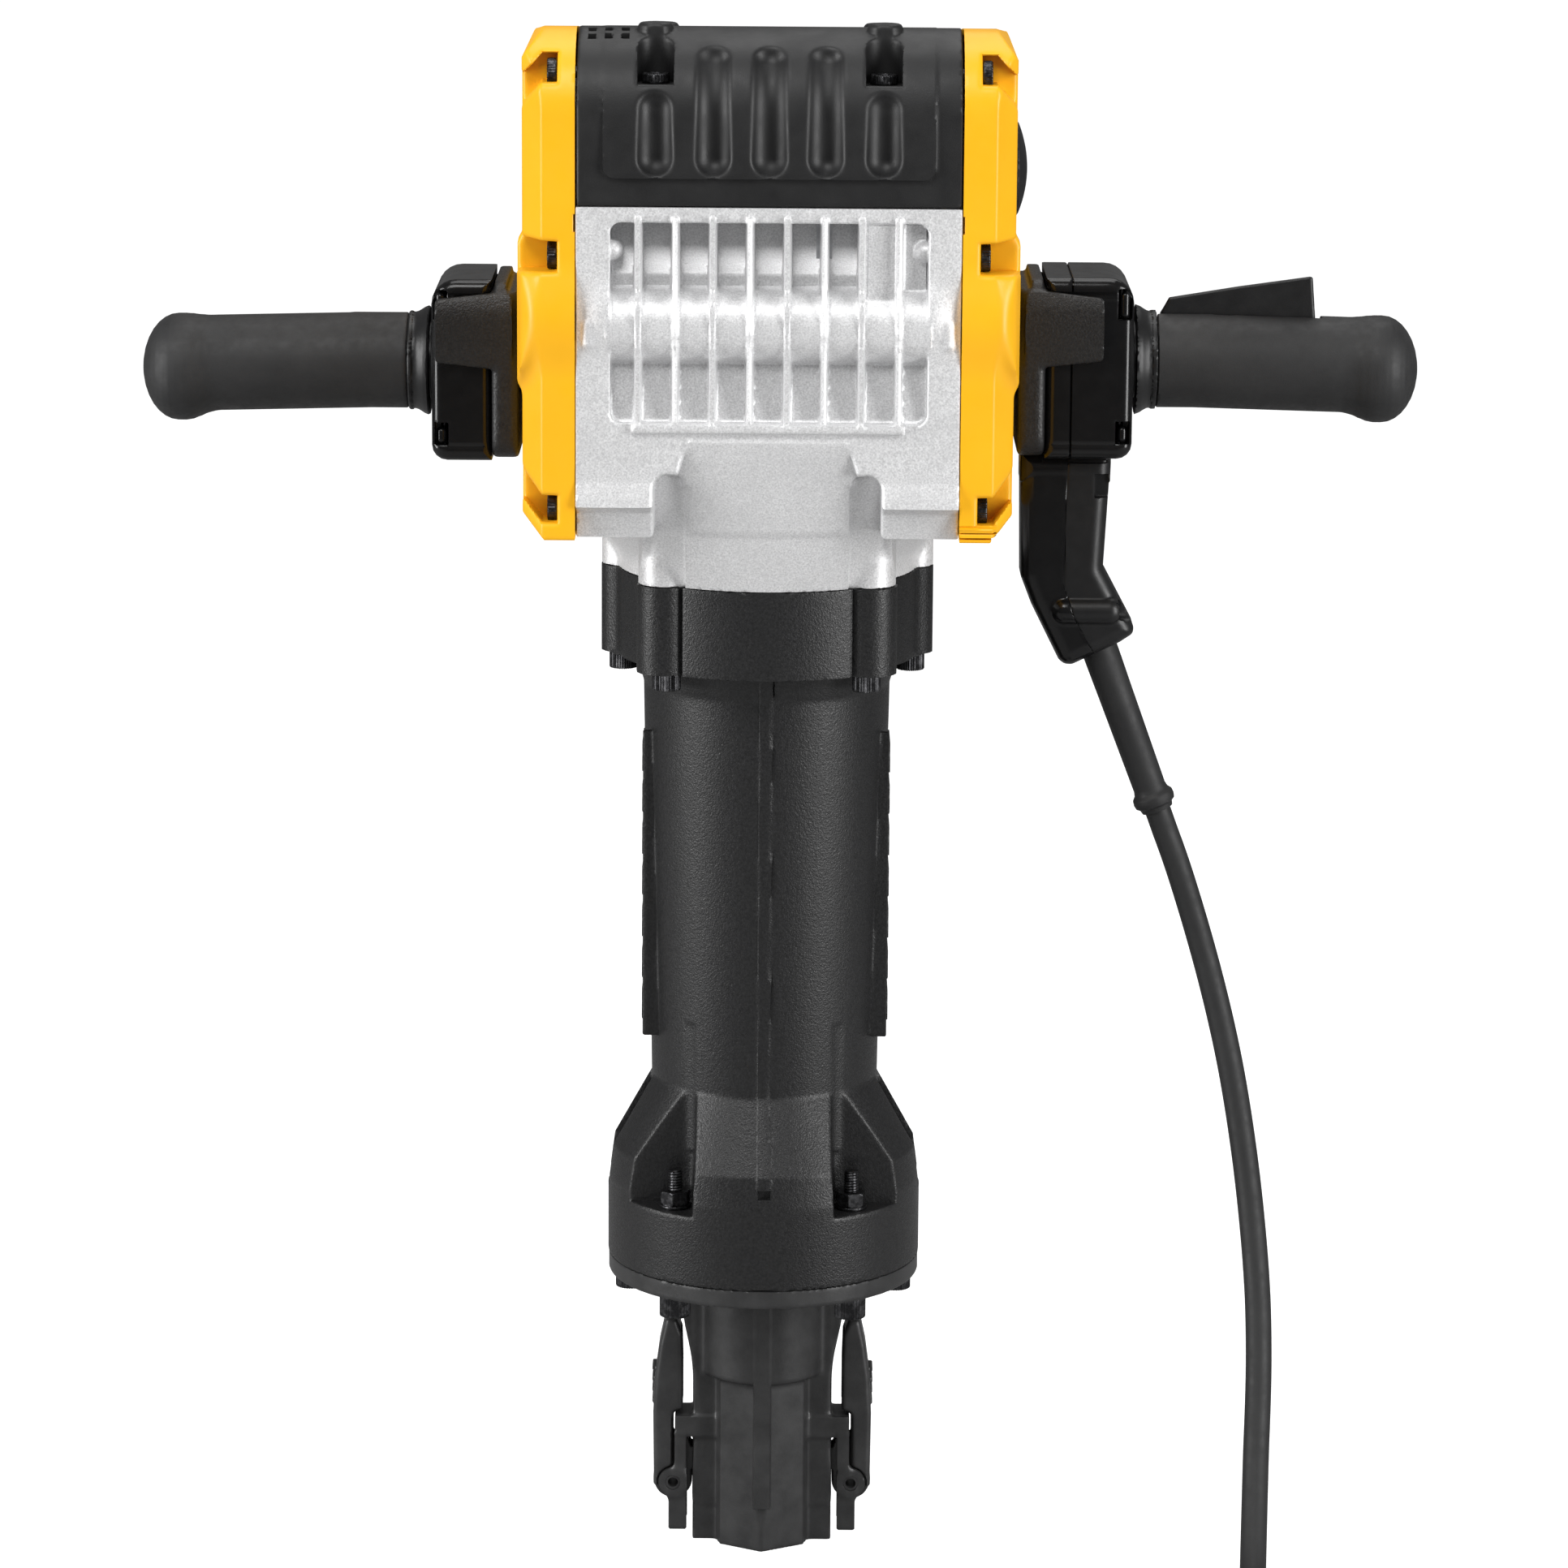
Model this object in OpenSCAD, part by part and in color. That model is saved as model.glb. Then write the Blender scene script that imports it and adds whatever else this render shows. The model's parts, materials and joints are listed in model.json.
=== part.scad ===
// Electric demolition hammer, standing on its nose.
// +Z is up, +Y is the back, and the origin is the centre of the tool socket's mouth.
// Lengths are millimetres.

/* [Housing] */
// Width across the two side covers
housing_w = 251; // [250:0.5:252]
// Depth of the housing, front to back
housing_d = 226; // [224:1:228]
// Height of the housing's underside
housing_z0 = 569; // [568:1:570]
// Height of the housing's top, at its front edge
housing_z1 = 827; // [826:1:828]
// How much lower the top's back edge is than its front edge
top_fall = 14; // [12:1:16]
// Height of the seam between gearcase and motor cover
cover_seam_z = 740; // [739:1:741]
// Width of the cast middle between the side covers
core_w = 195; // [194:1:196]
// Radius of the housing's long top edges
top_r = 42; // [36:1:46]
// Wall thickness of the gearcase casting
cast_wall = 8; // [7:0.5:9]
// Wall thickness of the moulded covers
cover_wall = 4; // [3.5:0.5:4.5]
// Number of cooling fins in each bay
fin_count = 8; // [6:1:8]
// Distance between cooling fins
fin_pitch = 18.8; // [18.5:0.1:19]
// Thickness of a cooling fin
fin_t = 3; // [2:0.5:4]
// Depth of the fin bay
bay_depth = 7; // [5:0.5:7]

/* [Barrel] */
// Radius of the collar under the gearcase
collar_r = 87.3; // [86:0.1:88]
// Height of the collar's bottom
collar_z0 = 492; // [490:1:494]
// Height of the seam between collar and gearcase
collar_z1 = 538.5; // [538:0.5:539]
// Radius of the tube at its upper end
tube_r1 = 64.5; // [63:0.5:66]
// Radius of the tube at its lower end
tube_r0 = 60.2; // [59:0.1:62]
// Radius of the bell at the bottom
bell_r = 83.8; // [83:0.1:84.5]
// Bore for the cylinder sleeve
barrel_bore_r = 43; // [42.5:0.1:43.5]

/* [Tool holder] */
// Hexagon socket across its flats
hex_flats = 28.9; // [28.7:0.1:29.2]
// Depth of the hexagon socket
hex_depth = 152; // [150:1:153]
// Radius of the round lead-in at the mouth
mouth_r = 19; // [18:0.5:19.5]
// Depth of the round lead-in
mouth_depth = 6; // [5:0.5:8]
// Height of the flange's underside
flange_z0 = 153; // [152.5:0.5:153.5]
// Height of the flange's top
flange_z1 = 163; // [162:0.5:164]
// Half width of the nose
nose_hw = 37.8; // [37:0.2:38]

/* [Latches] */
// Distance of the latch pins from the centre
latch_x = 48.3; // [48:0.1:48.6]
// Height of the latch pins
latch_z = 33; // [32.5:0.5:33.5]
// Radius of the latch pins
latch_pin_r = 4; // [3.5:0.5:4]
// Half width of a latch lever's outer body
lever_hw = 11; // [10:0.5:11.5]

/* [Handles] */
// Height of the left handle's axis
handle_z_left = 645.5; // [645:0.5:647]
// Height of the right handle's axis
handle_z_right = 648.5; // [647:0.5:649]
// Inner end of both handle brackets
bracket_x = 129.5; // [129:0.1:130]
// Outer face of the left handle housing
block_x_left = 175; // [174.5:0.5:175.5]
// Outer face of the right handle housing
block_x_right = 189.2; // [189:0.1:190]
// Far end of the left grip
grip_end_left = 328; // [326:1:330]
// Far end of the right grip
grip_end_right = 340; // [338:1:342]
// Radius of the grips
grip_r = 25.4; // [25:0.1:26]
// Radius of the bulb at a grip's end
bulb_r = 28.2; // [28:0.1:28.6]
// Distance of the left isolation pivot from the centre
pivot_x_left = 154.5; // [154.5:0.1:155]
// Distance of the right isolation pivot from the centre
pivot_x_right = 165.5; // [165:0.5:166]
// Radius of the isolation pivot pins
pivot_r = 5; // [4.5:0.5:5]

/* [Trigger] */
// Distance of the trigger's pin from the centre
trigger_x = 209; // [208.5:0.5:209.5]
// Height of the trigger's pin
trigger_z = 659; // [658.5:0.5:659.5]
// Width of the trigger
trigger_w = 16; // [14:1:16]
// How far the trigger's middle sits behind the grip's middle
trigger_y = 5; // [4:0.5:5]
// How far the trigger's top falls from its front face to its back
trigger_fall = 4; // [2:0.5:5]

/* [Motor and gears] */
// Height of the armature's axis
motor_z = 776; // [775.5:0.5:776.5]
// Height of the crankshaft's axis
crank_z = 681; // [680.5:0.5:681.5]
// Throw of the crank pin
crank_throw = 20; // [18:1:20]
// Teeth of the armature pinion
teeth_pinion = 9;
// Teeth of the intermediate gear
teeth_mid_gear = 42;
// Teeth of the intermediate pinion
teeth_mid_pinion = 13;
// Teeth of the crank gear
teeth_crank = 40;
// Module of the first gear pair
module_1 = 1.75; // [1.7:0.05:1.8]
// Module of the second gear pair
module_2 = 2.25; // [2.2:0.05:2.3]

/* [Hammer mechanism] */
// Bore of the cylinder sleeve
cyl_bore_r = 38; // [37.5:0.5:38.5]
// Radial clearance of every running fit
run_gap = 0.05; // [0.03:0.01:0.08]

/* [Cord] */
// Diameter of the mains cord
cord_d = 14; // [12:0.5:15]

/* [Hidden] */
$fn = 64;

big = 400;
hw = housing_w / 2;
hd = housing_d / 2;
core_hw = core_w / 2;
cast_black = "#2a2a2b";
moulded_black = "#1b1b1c";
steel = "#8c8f94";
yellow = "#fdb515";

// Cylinders along an axis, from one end to the other
module rod_x(r, x0, x1, y, z) translate([x0, y, z]) rotate([0, 90, 0]) cylinder(r = r, h = x1 - x0);
module rod_y(r, y0, y1, x, z) translate([x, y1, z]) rotate([90, 0, 0]) cylinder(r = r, h = y1 - y0);
module rod_z(r, z0, z1, x, y) translate([x, y, z0]) cylinder(r = r, h = z1 - z0);
module block(x0, x1, y0, y1, z0, z1) translate([x0, y0, z0]) cube([x1 - x0, y1 - y0, z1 - z0]);
module tube_x(ro, ri, x0, x1, y, z) difference() {
    rod_x(ro, x0, x1, y, z);
    rod_x(ri, x0 - 1, x1 + 1, y, z);
}
module tube_z(ro, ri, z0, z1, x = 0, y = 0) difference() {
    rod_z(ro, z0, z1, x, y);
    rod_z(ri, z0 - 1, z1 + 1, x, y);
}
// An outline in Y and Z, made solid along X
module solid_x(x0, x1) translate([x0, 0, 0]) rotate([90, 0, 90]) linear_extrude(x1 - x0) children();
// An outline in X and Z, made solid along Y
module solid_y(y0, y1) translate([0, y1, 0]) rotate([90, 0, 0]) linear_extrude(y1 - y0) children();
module both_sides() { children(); mirror([1, 0, 0]) children(); }
module front_and_back() { children(); mirror([0, 1, 0]) children(); }
function on_circle(r, a, c = [0, 0]) = [c[0] + r * cos(a), c[1] + r * sin(a)];
function arc(c, r, a0, a1, n = 8) = [for (i = [0:n]) on_circle(r, a0 + (a1 - a0) * i / n, c)];

// ---- Housing ----

// Outline of the housing seen from the side, drawn in by a margin; its top falls to the back
top_angle = 90 - atan(top_fall / (2 * (hd - top_r)));
module housing_outline(inset = 0) {
    y = hd - inset;
    r = top_r - inset;
    polygon(concat(
        [[-y, housing_z0 + inset], [y, housing_z0 + inset]],
        arc([hd - top_r, housing_z1 - top_r - top_fall], r, 0, top_angle),
        arc([top_r - hd, housing_z1 - top_r], r, top_angle, 180)));
}
// Things by the top's front edge, and again by its back edge
module top_edges() { children(); translate([0, 0, -top_fall]) mirror([0, 1, 0]) children(); }

bulge_z = 681;
bulge_out = 6;
bulge_r = 52;
// Rounded bulge over the crank, along the whole width
module crank_bulge(x0, x1, inset = 0) front_and_back() intersection() {
    rod_x(bulge_r - inset, x0, x1, bulge_r - hd - bulge_out, bulge_z);
    block(x0, x1, -hd - bulge_out, -hd + 20, bulge_z - bulge_r, bulge_z + bulge_r);
}

bay_hw = 80;
bay_z0 = 630;
bay_z1 = 732;
bay_wall = 6;
module fin_bay() front_and_back() difference() {
    block(-bay_hw, bay_hw, -hd - bulge_out - 1, -hd + bay_depth, bay_z0, bay_z1);
    for (i = [0:fin_count - 1])
        block((i - (fin_count - 1) / 2) * fin_pitch - fin_t / 2, (i - (fin_count - 1) / 2) * fin_pitch + fin_t / 2,
            -hd - bulge_out - 2, -hd + bay_depth + 1, bay_z0 - 1, bay_z1 + 1);
}

crank_bearing_r = 26;
crank_bearing_x = 73;
crank_seat_r = 32;
neck_bore_r = 54;
// Places of a side cover's front screws in Y and Z
top_screw = [-97, 806];
low_screws = [[-100, 714], [-100, 585]];
module side_screw_places() {
    top_edges() translate([0, top_screw[0], top_screw[1]]) children();
    front_and_back() for (s = low_screws) translate([0, s[0], s[1]]) children();
}
screw_boss_r = 7;
screw_r = 3;
screw_in = 6;
bolt_r = 4;
bolt_in = 16;
barrel_bolt_places = [for (s = [1, -1]) each [[76 * s, 0], [52 * s, -60.8], [52 * s, 60.8]]];

module gearcase() color("#c9c9c9") difference() {
    union() {
        difference() {
            union() {
                intersection() {
                    solid_x(-core_hw, core_hw) housing_outline();
                    block(-core_hw, core_hw, -hd, hd, housing_z0, cover_seam_z);
                }
                crank_bulge(-core_hw, core_hw);
                rod_z(collar_r, collar_z1, housing_z0 + cast_wall, 0, 0);
            }
            block(cast_wall - core_hw, core_hw - cast_wall, cast_wall - hd, hd - cast_wall,
                housing_z0 + cast_wall, cover_seam_z + 1);
            fin_bay();
        }
        both_sides() rod_x(crank_seat_r, crank_bearing_x, core_hw - 1, 0, crank_z);
        // Wall behind each bay
        front_and_back() block(-core_hw + cast_wall - 1, core_hw - cast_wall + 1,
            -hd + bay_depth, -hd + bay_depth + bay_wall, bay_z0 - bay_wall, bay_z1 + bay_wall);
    }
    both_sides() rod_x(crank_bearing_r, crank_bearing_x - 1, core_hw - cast_wall, 0, crank_z);
    rod_z(neck_bore_r, collar_z1 - 1, housing_z0 + cast_wall + 1, 0, 0);
    both_sides() front_and_back() for (s = low_screws)
        rod_x(screw_r, core_hw - screw_in, core_hw + 1, s[0], s[1]);
    for (p = barrel_bolt_places) rod_z(bolt_r, collar_z1 - 1, collar_z1 + bolt_in, p[0], p[1]);
}

// Places of the motor cover's own screws, and the pockets they sit in
cover_screw_x = 57.4;
cover_screw_y = 98;
cover_screw_z = 801;
pocket_r = 9.4;
side_boss_l = 12;
bump_x = 58;
bump_y = 80;
bump_r = 9;
bump_top = 830;
module motor_cover() color(moulded_black) difference() {
    union() {
        difference() {
            intersection() {
                solid_x(-core_hw, core_hw) housing_outline();
                block(-core_hw, core_hw, -hd, hd, cover_seam_z, housing_z1 + 1);
            }
            intersection() {
                solid_x(-core_hw - 1, core_hw + 1) housing_outline(cover_wall);
                block(-core_hw - 1, core_hw + 1, -hd, hd, cover_seam_z - 1, housing_z1 + 1);
            }
        }
        both_sides() top_edges() {
            rod_z(bump_r, housing_z1 - 12, bump_top, bump_x, -bump_y);
            intersection() {
                rod_z(pocket_r + 3, cover_seam_z + top_fall, housing_z1, cover_screw_x, -cover_screw_y);
                solid_x(0, core_hw) housing_outline();
            }
            rod_x(screw_boss_r, core_hw - side_boss_l, core_hw, top_screw[0], top_screw[1]);
        }
    }
    both_sides() top_edges() {
        rod_z(pocket_r, cover_screw_z, housing_z1 + 1, cover_screw_x, -cover_screw_y);
        rod_z(screw_r, cover_seam_z, cover_screw_z + 1, cover_screw_x, -cover_screw_y);
        rod_x(screw_r, core_hw - side_boss_l - 1, core_hw + 1, top_screw[0], top_screw[1]);
    }
}

// Bevels along a side cover's front, bottom and top edges, across and along
front_bevel = [11.2, 18];
bottom_bevel = [12, 12];
top_bevel = [11, 14];
// Share of a wall's thickness that a bevel's corner moves along the wall
corner_shift = 0.4;
module side_cover_plan(inset) {
    c = inset * corner_shift;
    x = hw - front_bevel[0] - c;
    y = hd - front_bevel[1] - c;
    polygon([[core_hw - 1, inset - hd], [x, inset - hd], [hw - inset, -y], [hw - inset, y],
        [x, hd - inset], [core_hw - 1, hd - inset]]);
}
module side_cover_front(inset) {
    c = inset * corner_shift;
    polygon([[core_hw - 1, housing_z0 + inset], [hw - bottom_bevel[0] - c, housing_z0 + inset],
        [hw - inset, housing_z0 + bottom_bevel[1] + c], [hw - inset, housing_z1 - top_bevel[1] - c],
        [hw - top_bevel[0] - c, housing_z1 - inset], [core_hw - 1, housing_z1 - inset]]);
}
module side_cover_body(inset = 0) intersection() {
    solid_x(core_hw - (inset > 0 ? 1 : 0), hw) housing_outline(inset);
    linear_extrude(big * 3) side_cover_plan(inset);
    solid_y(-hd - 1, hd + 1) side_cover_front(inset);
}
pocket_lining = 3;
seat_x = 107;
pocket_hz = 9;
pocket_y = 30;
module screw_pocket(grow = 0)
    block(seat_x - grow, hw + 1, -pocket_y, pocket_hz + grow, -pocket_hz - grow, pocket_hz + grow);
vent_count = 3;
vent_pitch = 9;
vent_w = 4;
// Spigot of a handle bracket, which passes through the side cover
spigot_r = 18;
spigot_z = 647;
module side_cover() difference() {
    union() {
        difference() {
            union() {
                side_cover_body();
                crank_bulge(core_hw, hw);
            }
            side_cover_body(cover_wall);
        }
        intersection() {
            side_cover_body();
            side_screw_places() {
                screw_pocket(pocket_lining);
                rod_x(screw_boss_r, core_hw, seat_x, 0, 0);
            }
        }
    }
    side_screw_places() {
        screw_pocket();
        rod_x(screw_r, core_hw - 1, hw, 0, 0);
    }
    front_and_back() for (i = [1:vent_count]) block(core_hw + 1, hw - bottom_bevel[0] - 1,
        i * vent_pitch - vent_w - hd, i * vent_pitch - hd, housing_z0 - 1, housing_z0 + cover_wall + 1);
    rod_x(spigot_r + 0.5, core_hw - 1, hw + 1, 0, spigot_z);
}
module left_side_cover() color(yellow) mirror([1, 0, 0]) side_cover();
module right_side_cover() color(yellow) side_cover();

cap_z = 748.4;
cap_r = 31;
cap_dome = 8.4;
// Radius of the sphere that the cap's dome is cut from
cap_dome_r = (cap_r * cap_r + cap_dome * cap_dome) / (2 * cap_dome);
cap_half_angle = asin(cap_r / cap_dome_r);
module service_cap() color(moulded_black) translate([hw + cap_dome - cap_dome_r, 0, cap_z])
    rotate([0, 90, 0]) rotate_extrude() polygon(concat([[0, cap_dome_r - cap_dome]],
        arc([0, 0], cap_dome_r, 90 - cap_half_angle, 90)));

// Cap screw that points down: its head's underside is at the origin
cover_head_r = 7;
cover_head_h = 5;
module cover_screw(l) {
    difference() {
        cylinder(r = cover_head_r, h = cover_head_h);
        translate([0, 0, cover_head_h / 2]) cylinder(r = screw_r, h = cover_head_h, $fn = 6);
    }
    translate([0, 0, -l]) cylinder(r = screw_r, h = l);
}
module cover_screws() color("#39393b") both_sides() {
    top_edges() translate([cover_screw_x, -cover_screw_y, cover_screw_z])
        cover_screw(cover_screw_z - cover_seam_z - top_fall);
    side_screw_places() translate([seat_x, 0, 0]) rotate([0, 90, 0])
        cover_screw(seat_x - core_hw + screw_in);
}

// ---- Barrel ----

bell_z1 = 208;
flare_z = 225;
flare_top_z = 263.4;
holder_bolt_a = 49.3;
holder_bolt_ring = 71.5;
holder_bolt_places = [for (a = [0, 180, holder_bolt_a, -holder_bolt_a, 180 - holder_bolt_a,
    180 + holder_bolt_a]) on_circle(holder_bolt_ring, a)];
pocket_floor = 201;
bolt_hole_r = bolt_r + 0.3;
pocket_hw = 13;
// Open pocket round a nut, seen along the flange's edge
nut_pocket = [[-12, 0], [30, 0], [30, 40], [-4, 62], [-12, 40]];
// Ribs down both sides of the tube
rib_count = 7;
rib_z0 = 294;
rib_pitch = 22.5;
rib_h = 17;
rib_x = 65.6;
rib_hy = 20;
// The sleeve sits on a land at each end of the barrel, with a relief between them
land_z1 = 280;
land_z2 = 510;
relief_r = 53;
module barrel() color(cast_black) difference() {
    union() {
        rotate_extrude($fn = 128) polygon([
            [barrel_bore_r, land_z1], [barrel_bore_r, flange_z1], [bell_r, flange_z1], [bell_r, bell_z1], [81.2, flare_z],
            [tube_r0, flare_top_z], [tube_r1, 457], [tube_r1 + 0.6, collar_z0],
            [collar_r, collar_z0], [collar_r, collar_z1], [barrel_bore_r, collar_z1],
            [barrel_bore_r, land_z2], [relief_r, land_z2 - 10], [relief_r, land_z1 + 10]]);
        both_sides() for (i = [0:rib_count - 1]) block(tube_r0 - 2, rib_x, -rib_hy, rib_hy,
            rib_z0 + i * rib_pitch, rib_z0 + i * rib_pitch + rib_h);
    }
    for (p = holder_bolt_places) {
        rod_z(bolt_hole_r, flange_z1 - 1, pocket_floor + 1, p[0], p[1]);
        translate([p[0], p[1], pocket_floor]) rotate([0, 0, atan2(p[1], p[0])])
            solid_y(-pocket_hw, pocket_hw) polygon(nut_pocket);
    }
    for (p = barrel_bolt_places) rod_z(bolt_hole_r, collar_z0 - 1, collar_z1 + 1, p[0], p[1]);
}

// Cap screw that points up: its head's underside is at the origin
module cap_screw(head_r, head_h, l) {
    translate([0, 0, -head_h]) difference() {
        cylinder(r = head_r, h = head_h);
        translate([0, 0, -1]) cylinder(r = head_r / 2, h = head_h / 2 + 1, $fn = 6);
    }
    cylinder(r = bolt_r, h = l);
}
barrel_head = [7.3, 9.6];
module barrel_bolts() color("#323233") for (p = barrel_bolt_places)
    translate([p[0], p[1], collar_z0])
        cap_screw(barrel_head[0], barrel_head[1], collar_z1 - collar_z0 + bolt_in);
holder_head = [8.2, 12];
thread_top = 222;
module holder_bolts() color("#323233") for (p = holder_bolt_places)
    translate([p[0], p[1], flange_z0]) cap_screw(holder_head[0], holder_head[1], thread_top - flange_z0);
washer = [8.4, 1.6];
nut = [7.8, 7.6];
module holder_nuts() color("#323233") for (p = holder_bolt_places)
    translate([p[0], p[1], pocket_floor]) difference() {
        union() {
            cylinder(r = washer[0], h = washer[1]);
            translate([0, 0, washer[1]]) cylinder(r = nut[0], h = nut[1], $fn = 6);
        }
        translate([0, 0, -1]) cylinder(r = bolt_r, h = nut[1] + washer[1] + 2);
    }

// ---- Tool holder and latches ----

arm_z0 = 58.6;
arm_z1 = 70.8;
arm_end = 47.5;
arm_hy = 12.5;
ear_t = 4;
window_hy = 8.3;
nose_plan = [[0, -32], [22.5, -19], [25, -11], [nose_hw, -10.5], [nose_hw, 10.5], [25, 11],
    [22.5, 19], [0, 32], [-22.5, 19], [-25, 11], [-nose_hw, 10.5], [-nose_hw, -10.5],
    [-25, -11], [-22.5, -19]];
beat_r = 24;
module tool_holder() color(cast_black) difference() {
    union() {
        linear_extrude(flange_z0) polygon(nose_plan);
        solid_y(-10.5, 10.5) polygon([[-nose_hw, 40], [nose_hw, 40], [34.3, 76], [36, 92], [42, 121],
            [47, flange_z0], [-47, flange_z0], [-42, 121], [-36, 92], [-34.3, 76]]);
        rod_z(34, 93, flange_z0, 0, 0);
        rod_z(bell_r - 0.2, flange_z0, flange_z1, 0, 0);
        block(-arm_end, arm_end, -arm_hy, arm_hy, arm_z0, arm_z1);
        both_sides() for (y0 = [-arm_hy, arm_hy - ear_t]) {
            block(40.8, 47.6, y0, y0 + ear_t, 33, arm_z0 + 1);
            block(40.8, 50.9, y0, y0 + ear_t, 6, 27);
            rod_y(7.9, y0, y0 + ear_t, latch_x, latch_z);
        }
    }
    translate([0, 0, -1]) rotate([0, 0, 30])
        cylinder(r = hex_flats / 2 / cos(30), h = hex_depth + 1, $fn = 6);
    rod_z(mouth_r, -1, mouth_depth, 0, 0);
    rod_z(beat_r + run_gap, hex_depth - 1, flange_z1 + 1, 0, 0);
    both_sides() block(hex_flats / 2 - 1, nose_hw + 1, -window_hy, window_hy, 30, 64 - 5.4);
    both_sides() block(hex_flats / 2 - 1, 33, -window_hy, window_hy, 58, 66);
    both_sides() rod_y(latch_pin_r, -arm_hy - 1, arm_hy + 1, latch_x, latch_z);
    for (p = holder_bolt_places) rod_z(bolt_r + 0.3, flange_z0 - 1, flange_z1 + 1, p[0], p[1]);
}

web_hy = 7.7;
module latch_lever() difference() {
    union() {
        difference() {
            solid_y(-lever_hw, lever_hw) polygon([[48.5, 33], [59, 33], [59.2, 72], [58.2, 92],
                [55.8, 110], [52.6, 125], [46.5, 125], [43.2, 116], [42.8, 100], [42.8, 73],
                [48.2, 72.2]]);
            rod_y(8.4, -lever_hw - 1, lever_hw + 1, latch_x, latch_z);
        }
        solid_y(-web_hy, web_hy) polygon([[58, 33], [58, 55], [40, 55], [38.5, 51.5], [13.2, 51.5],
            [13.2, 42], [38, 39], [39, 33]]);
        rod_y(10.4, -web_hy, web_hy, latch_x, latch_z);
    }
    rod_y(latch_pin_r + run_gap, -lever_hw - 1, lever_hw + 1, latch_x, latch_z);
    block(39.6, 46.4, -3.6, 3.6, 46, 60);
}
module latch_lever_right() color("#2c2c2e") latch_lever();
module latch_lever_left() color("#2c2c2e") mirror([1, 0, 0]) latch_lever();
module latch_pins() color(steel) both_sides() difference() {
    rod_y(latch_pin_r, -arm_hy, arm_hy, latch_x, latch_z);
    rod_y(latch_pin_r - 1.2, -arm_hy - 1, arm_hy + 1, latch_x, latch_z);
}
module latch_spring() tube_z(3.2, 2.2, 46, arm_z0, 43, 0);
module latch_spring_right() color(steel) latch_spring();
module latch_spring_left() color(steel) mirror([1, 0, 0]) latch_spring();

// ---- Handles ----

housing_hy = 37;
block_dz0 = 47.8;
block_dz1 = 46.8;
// Cast bracket of a handle: plate, spigot into the gearcase and two side arms
module handle_bracket(z, reach) difference() {
    union() {
        solid_y(-42, 42) translate([bracket_x, z]) polygon(concat(
            [[0, -block_dz0], [10, -block_dz0]], arc([10, -block_dz0 + 4], 4, -90, 0, 3),
            arc([10, block_dz1 - 4], 4, 0, 90, 3), [[0, block_dz1]]));
        rod_x(spigot_r, core_hw, bracket_x + 1, 0, spigot_z);
        front_and_back() intersection() {
            block(bracket_x + 12, reach, -45, -housing_hy - 0.1, z + 3, z + 40);
            rod_x(45.5, bracket_x, reach, 0, z + 21.5);
        }
    }
    rod_x(9, core_hw - 1, bracket_x + 20, 0, spigot_z);
}
module left_handle_bracket() color(cast_black) mirror([1, 0, 0]) handle_bracket(handle_z_left, 173);
module right_handle_bracket() color(cast_black) handle_bracket(handle_z_right, 173.6);

plate_x = bracket_x + 14;
shell_t = 4.5;
// Moulded housing of a handle's isolation pivot
module pivot_housing(z, x1, pivot_x) difference() {
    solid_y(-housing_hy, housing_hy) polygon(concat(
        [[plate_x, z - block_dz0]], arc([x1 - 8, z - block_dz0 + 8], 8, -90, 0, 4),
        arc([x1 - 13, z + block_dz1 - 13], 13, 0, 90, 6), [[plate_x, z + block_dz1]]));
    block(plate_x - 1, x1 - shell_t, shell_t - housing_hy, housing_hy - shell_t,
        z - block_dz0 + shell_t, z + block_dz1 - shell_t);
    rod_x(26, x1 - shell_t - 1, x1 + 1, 0, z);
    rod_y(pivot_r, -housing_hy - 1, housing_hy + 1, pivot_x, z);
}
module left_handle_housing() color(moulded_black) mirror([1, 0, 0])
    pivot_housing(handle_z_left, block_x_left, pivot_x_left);
split_x = 157;
module right_handle_housing_inner() color(moulded_black) intersection() {
    pivot_housing(handle_z_right, block_x_right, pivot_x_right);
    block(0, split_x, -big, big, 0, big * 3);
}
module right_handle_housing_outer() color(moulded_black) intersection() {
    pivot_housing(handle_z_right, block_x_right, pivot_x_right);
    block(split_x, big, -big, big, 0, big * 3);
}

core_r = 20.3;
eye_r = 10.5;
bar_hz = 11;
pivot_gap = 2.4;
// Arm that carries a grip: eye on the pivot pin, bar, flared boot and core
module handle_arm(z, x1, x2, pivot_x) translate([0, 0, z]) difference() {
    union() {
        rod_y(eye_r, -17, 17, pivot_x, 0);
        block(pivot_x, x1 + 2, -17, 17, -bar_hz, bar_hz);
        rotate([0, 90, 0]) rotate_extrude() polygon([[0, x1 + pivot_gap], [31, x1 + pivot_gap],
            [31, x1 + pivot_gap + 1.5], [27, x1 + pivot_gap + 6], [24.6, x1 + pivot_gap + 11],
            [core_r, x1 + pivot_gap + 11], [core_r, x2], [0, x2]]);
        rod_x(20, x1 - shell_t + 0.5, x1 + pivot_gap + 1, 0, 0);
    }
    rod_y(pivot_r + run_gap, -18, 18, pivot_x, 0);
}
grip_wall_end = 20;
module grip_solid(z, x0, x_end) difference() {
    union() {
        rod_x(grip_r, x0, x_end - bulb_r + 6, 0, z);
        translate([x_end - bulb_r, 0, z - 4]) sphere(r = bulb_r);
    }
    rod_x(core_r, x0 - 1, x_end - grip_wall_end, 0, z);
}
grip_x_left = block_x_left + pivot_gap + 11;
grip_x_right = block_x_right + pivot_gap + 11;
module left_handle_arm() color(moulded_black) mirror([1, 0, 0])
    handle_arm(handle_z_left, block_x_left, grip_end_left - grip_wall_end, pivot_x_left);
module left_grip() color("#2b2b2c") mirror([1, 0, 0])
    grip_solid(handle_z_left, grip_x_left, grip_end_left);
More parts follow.
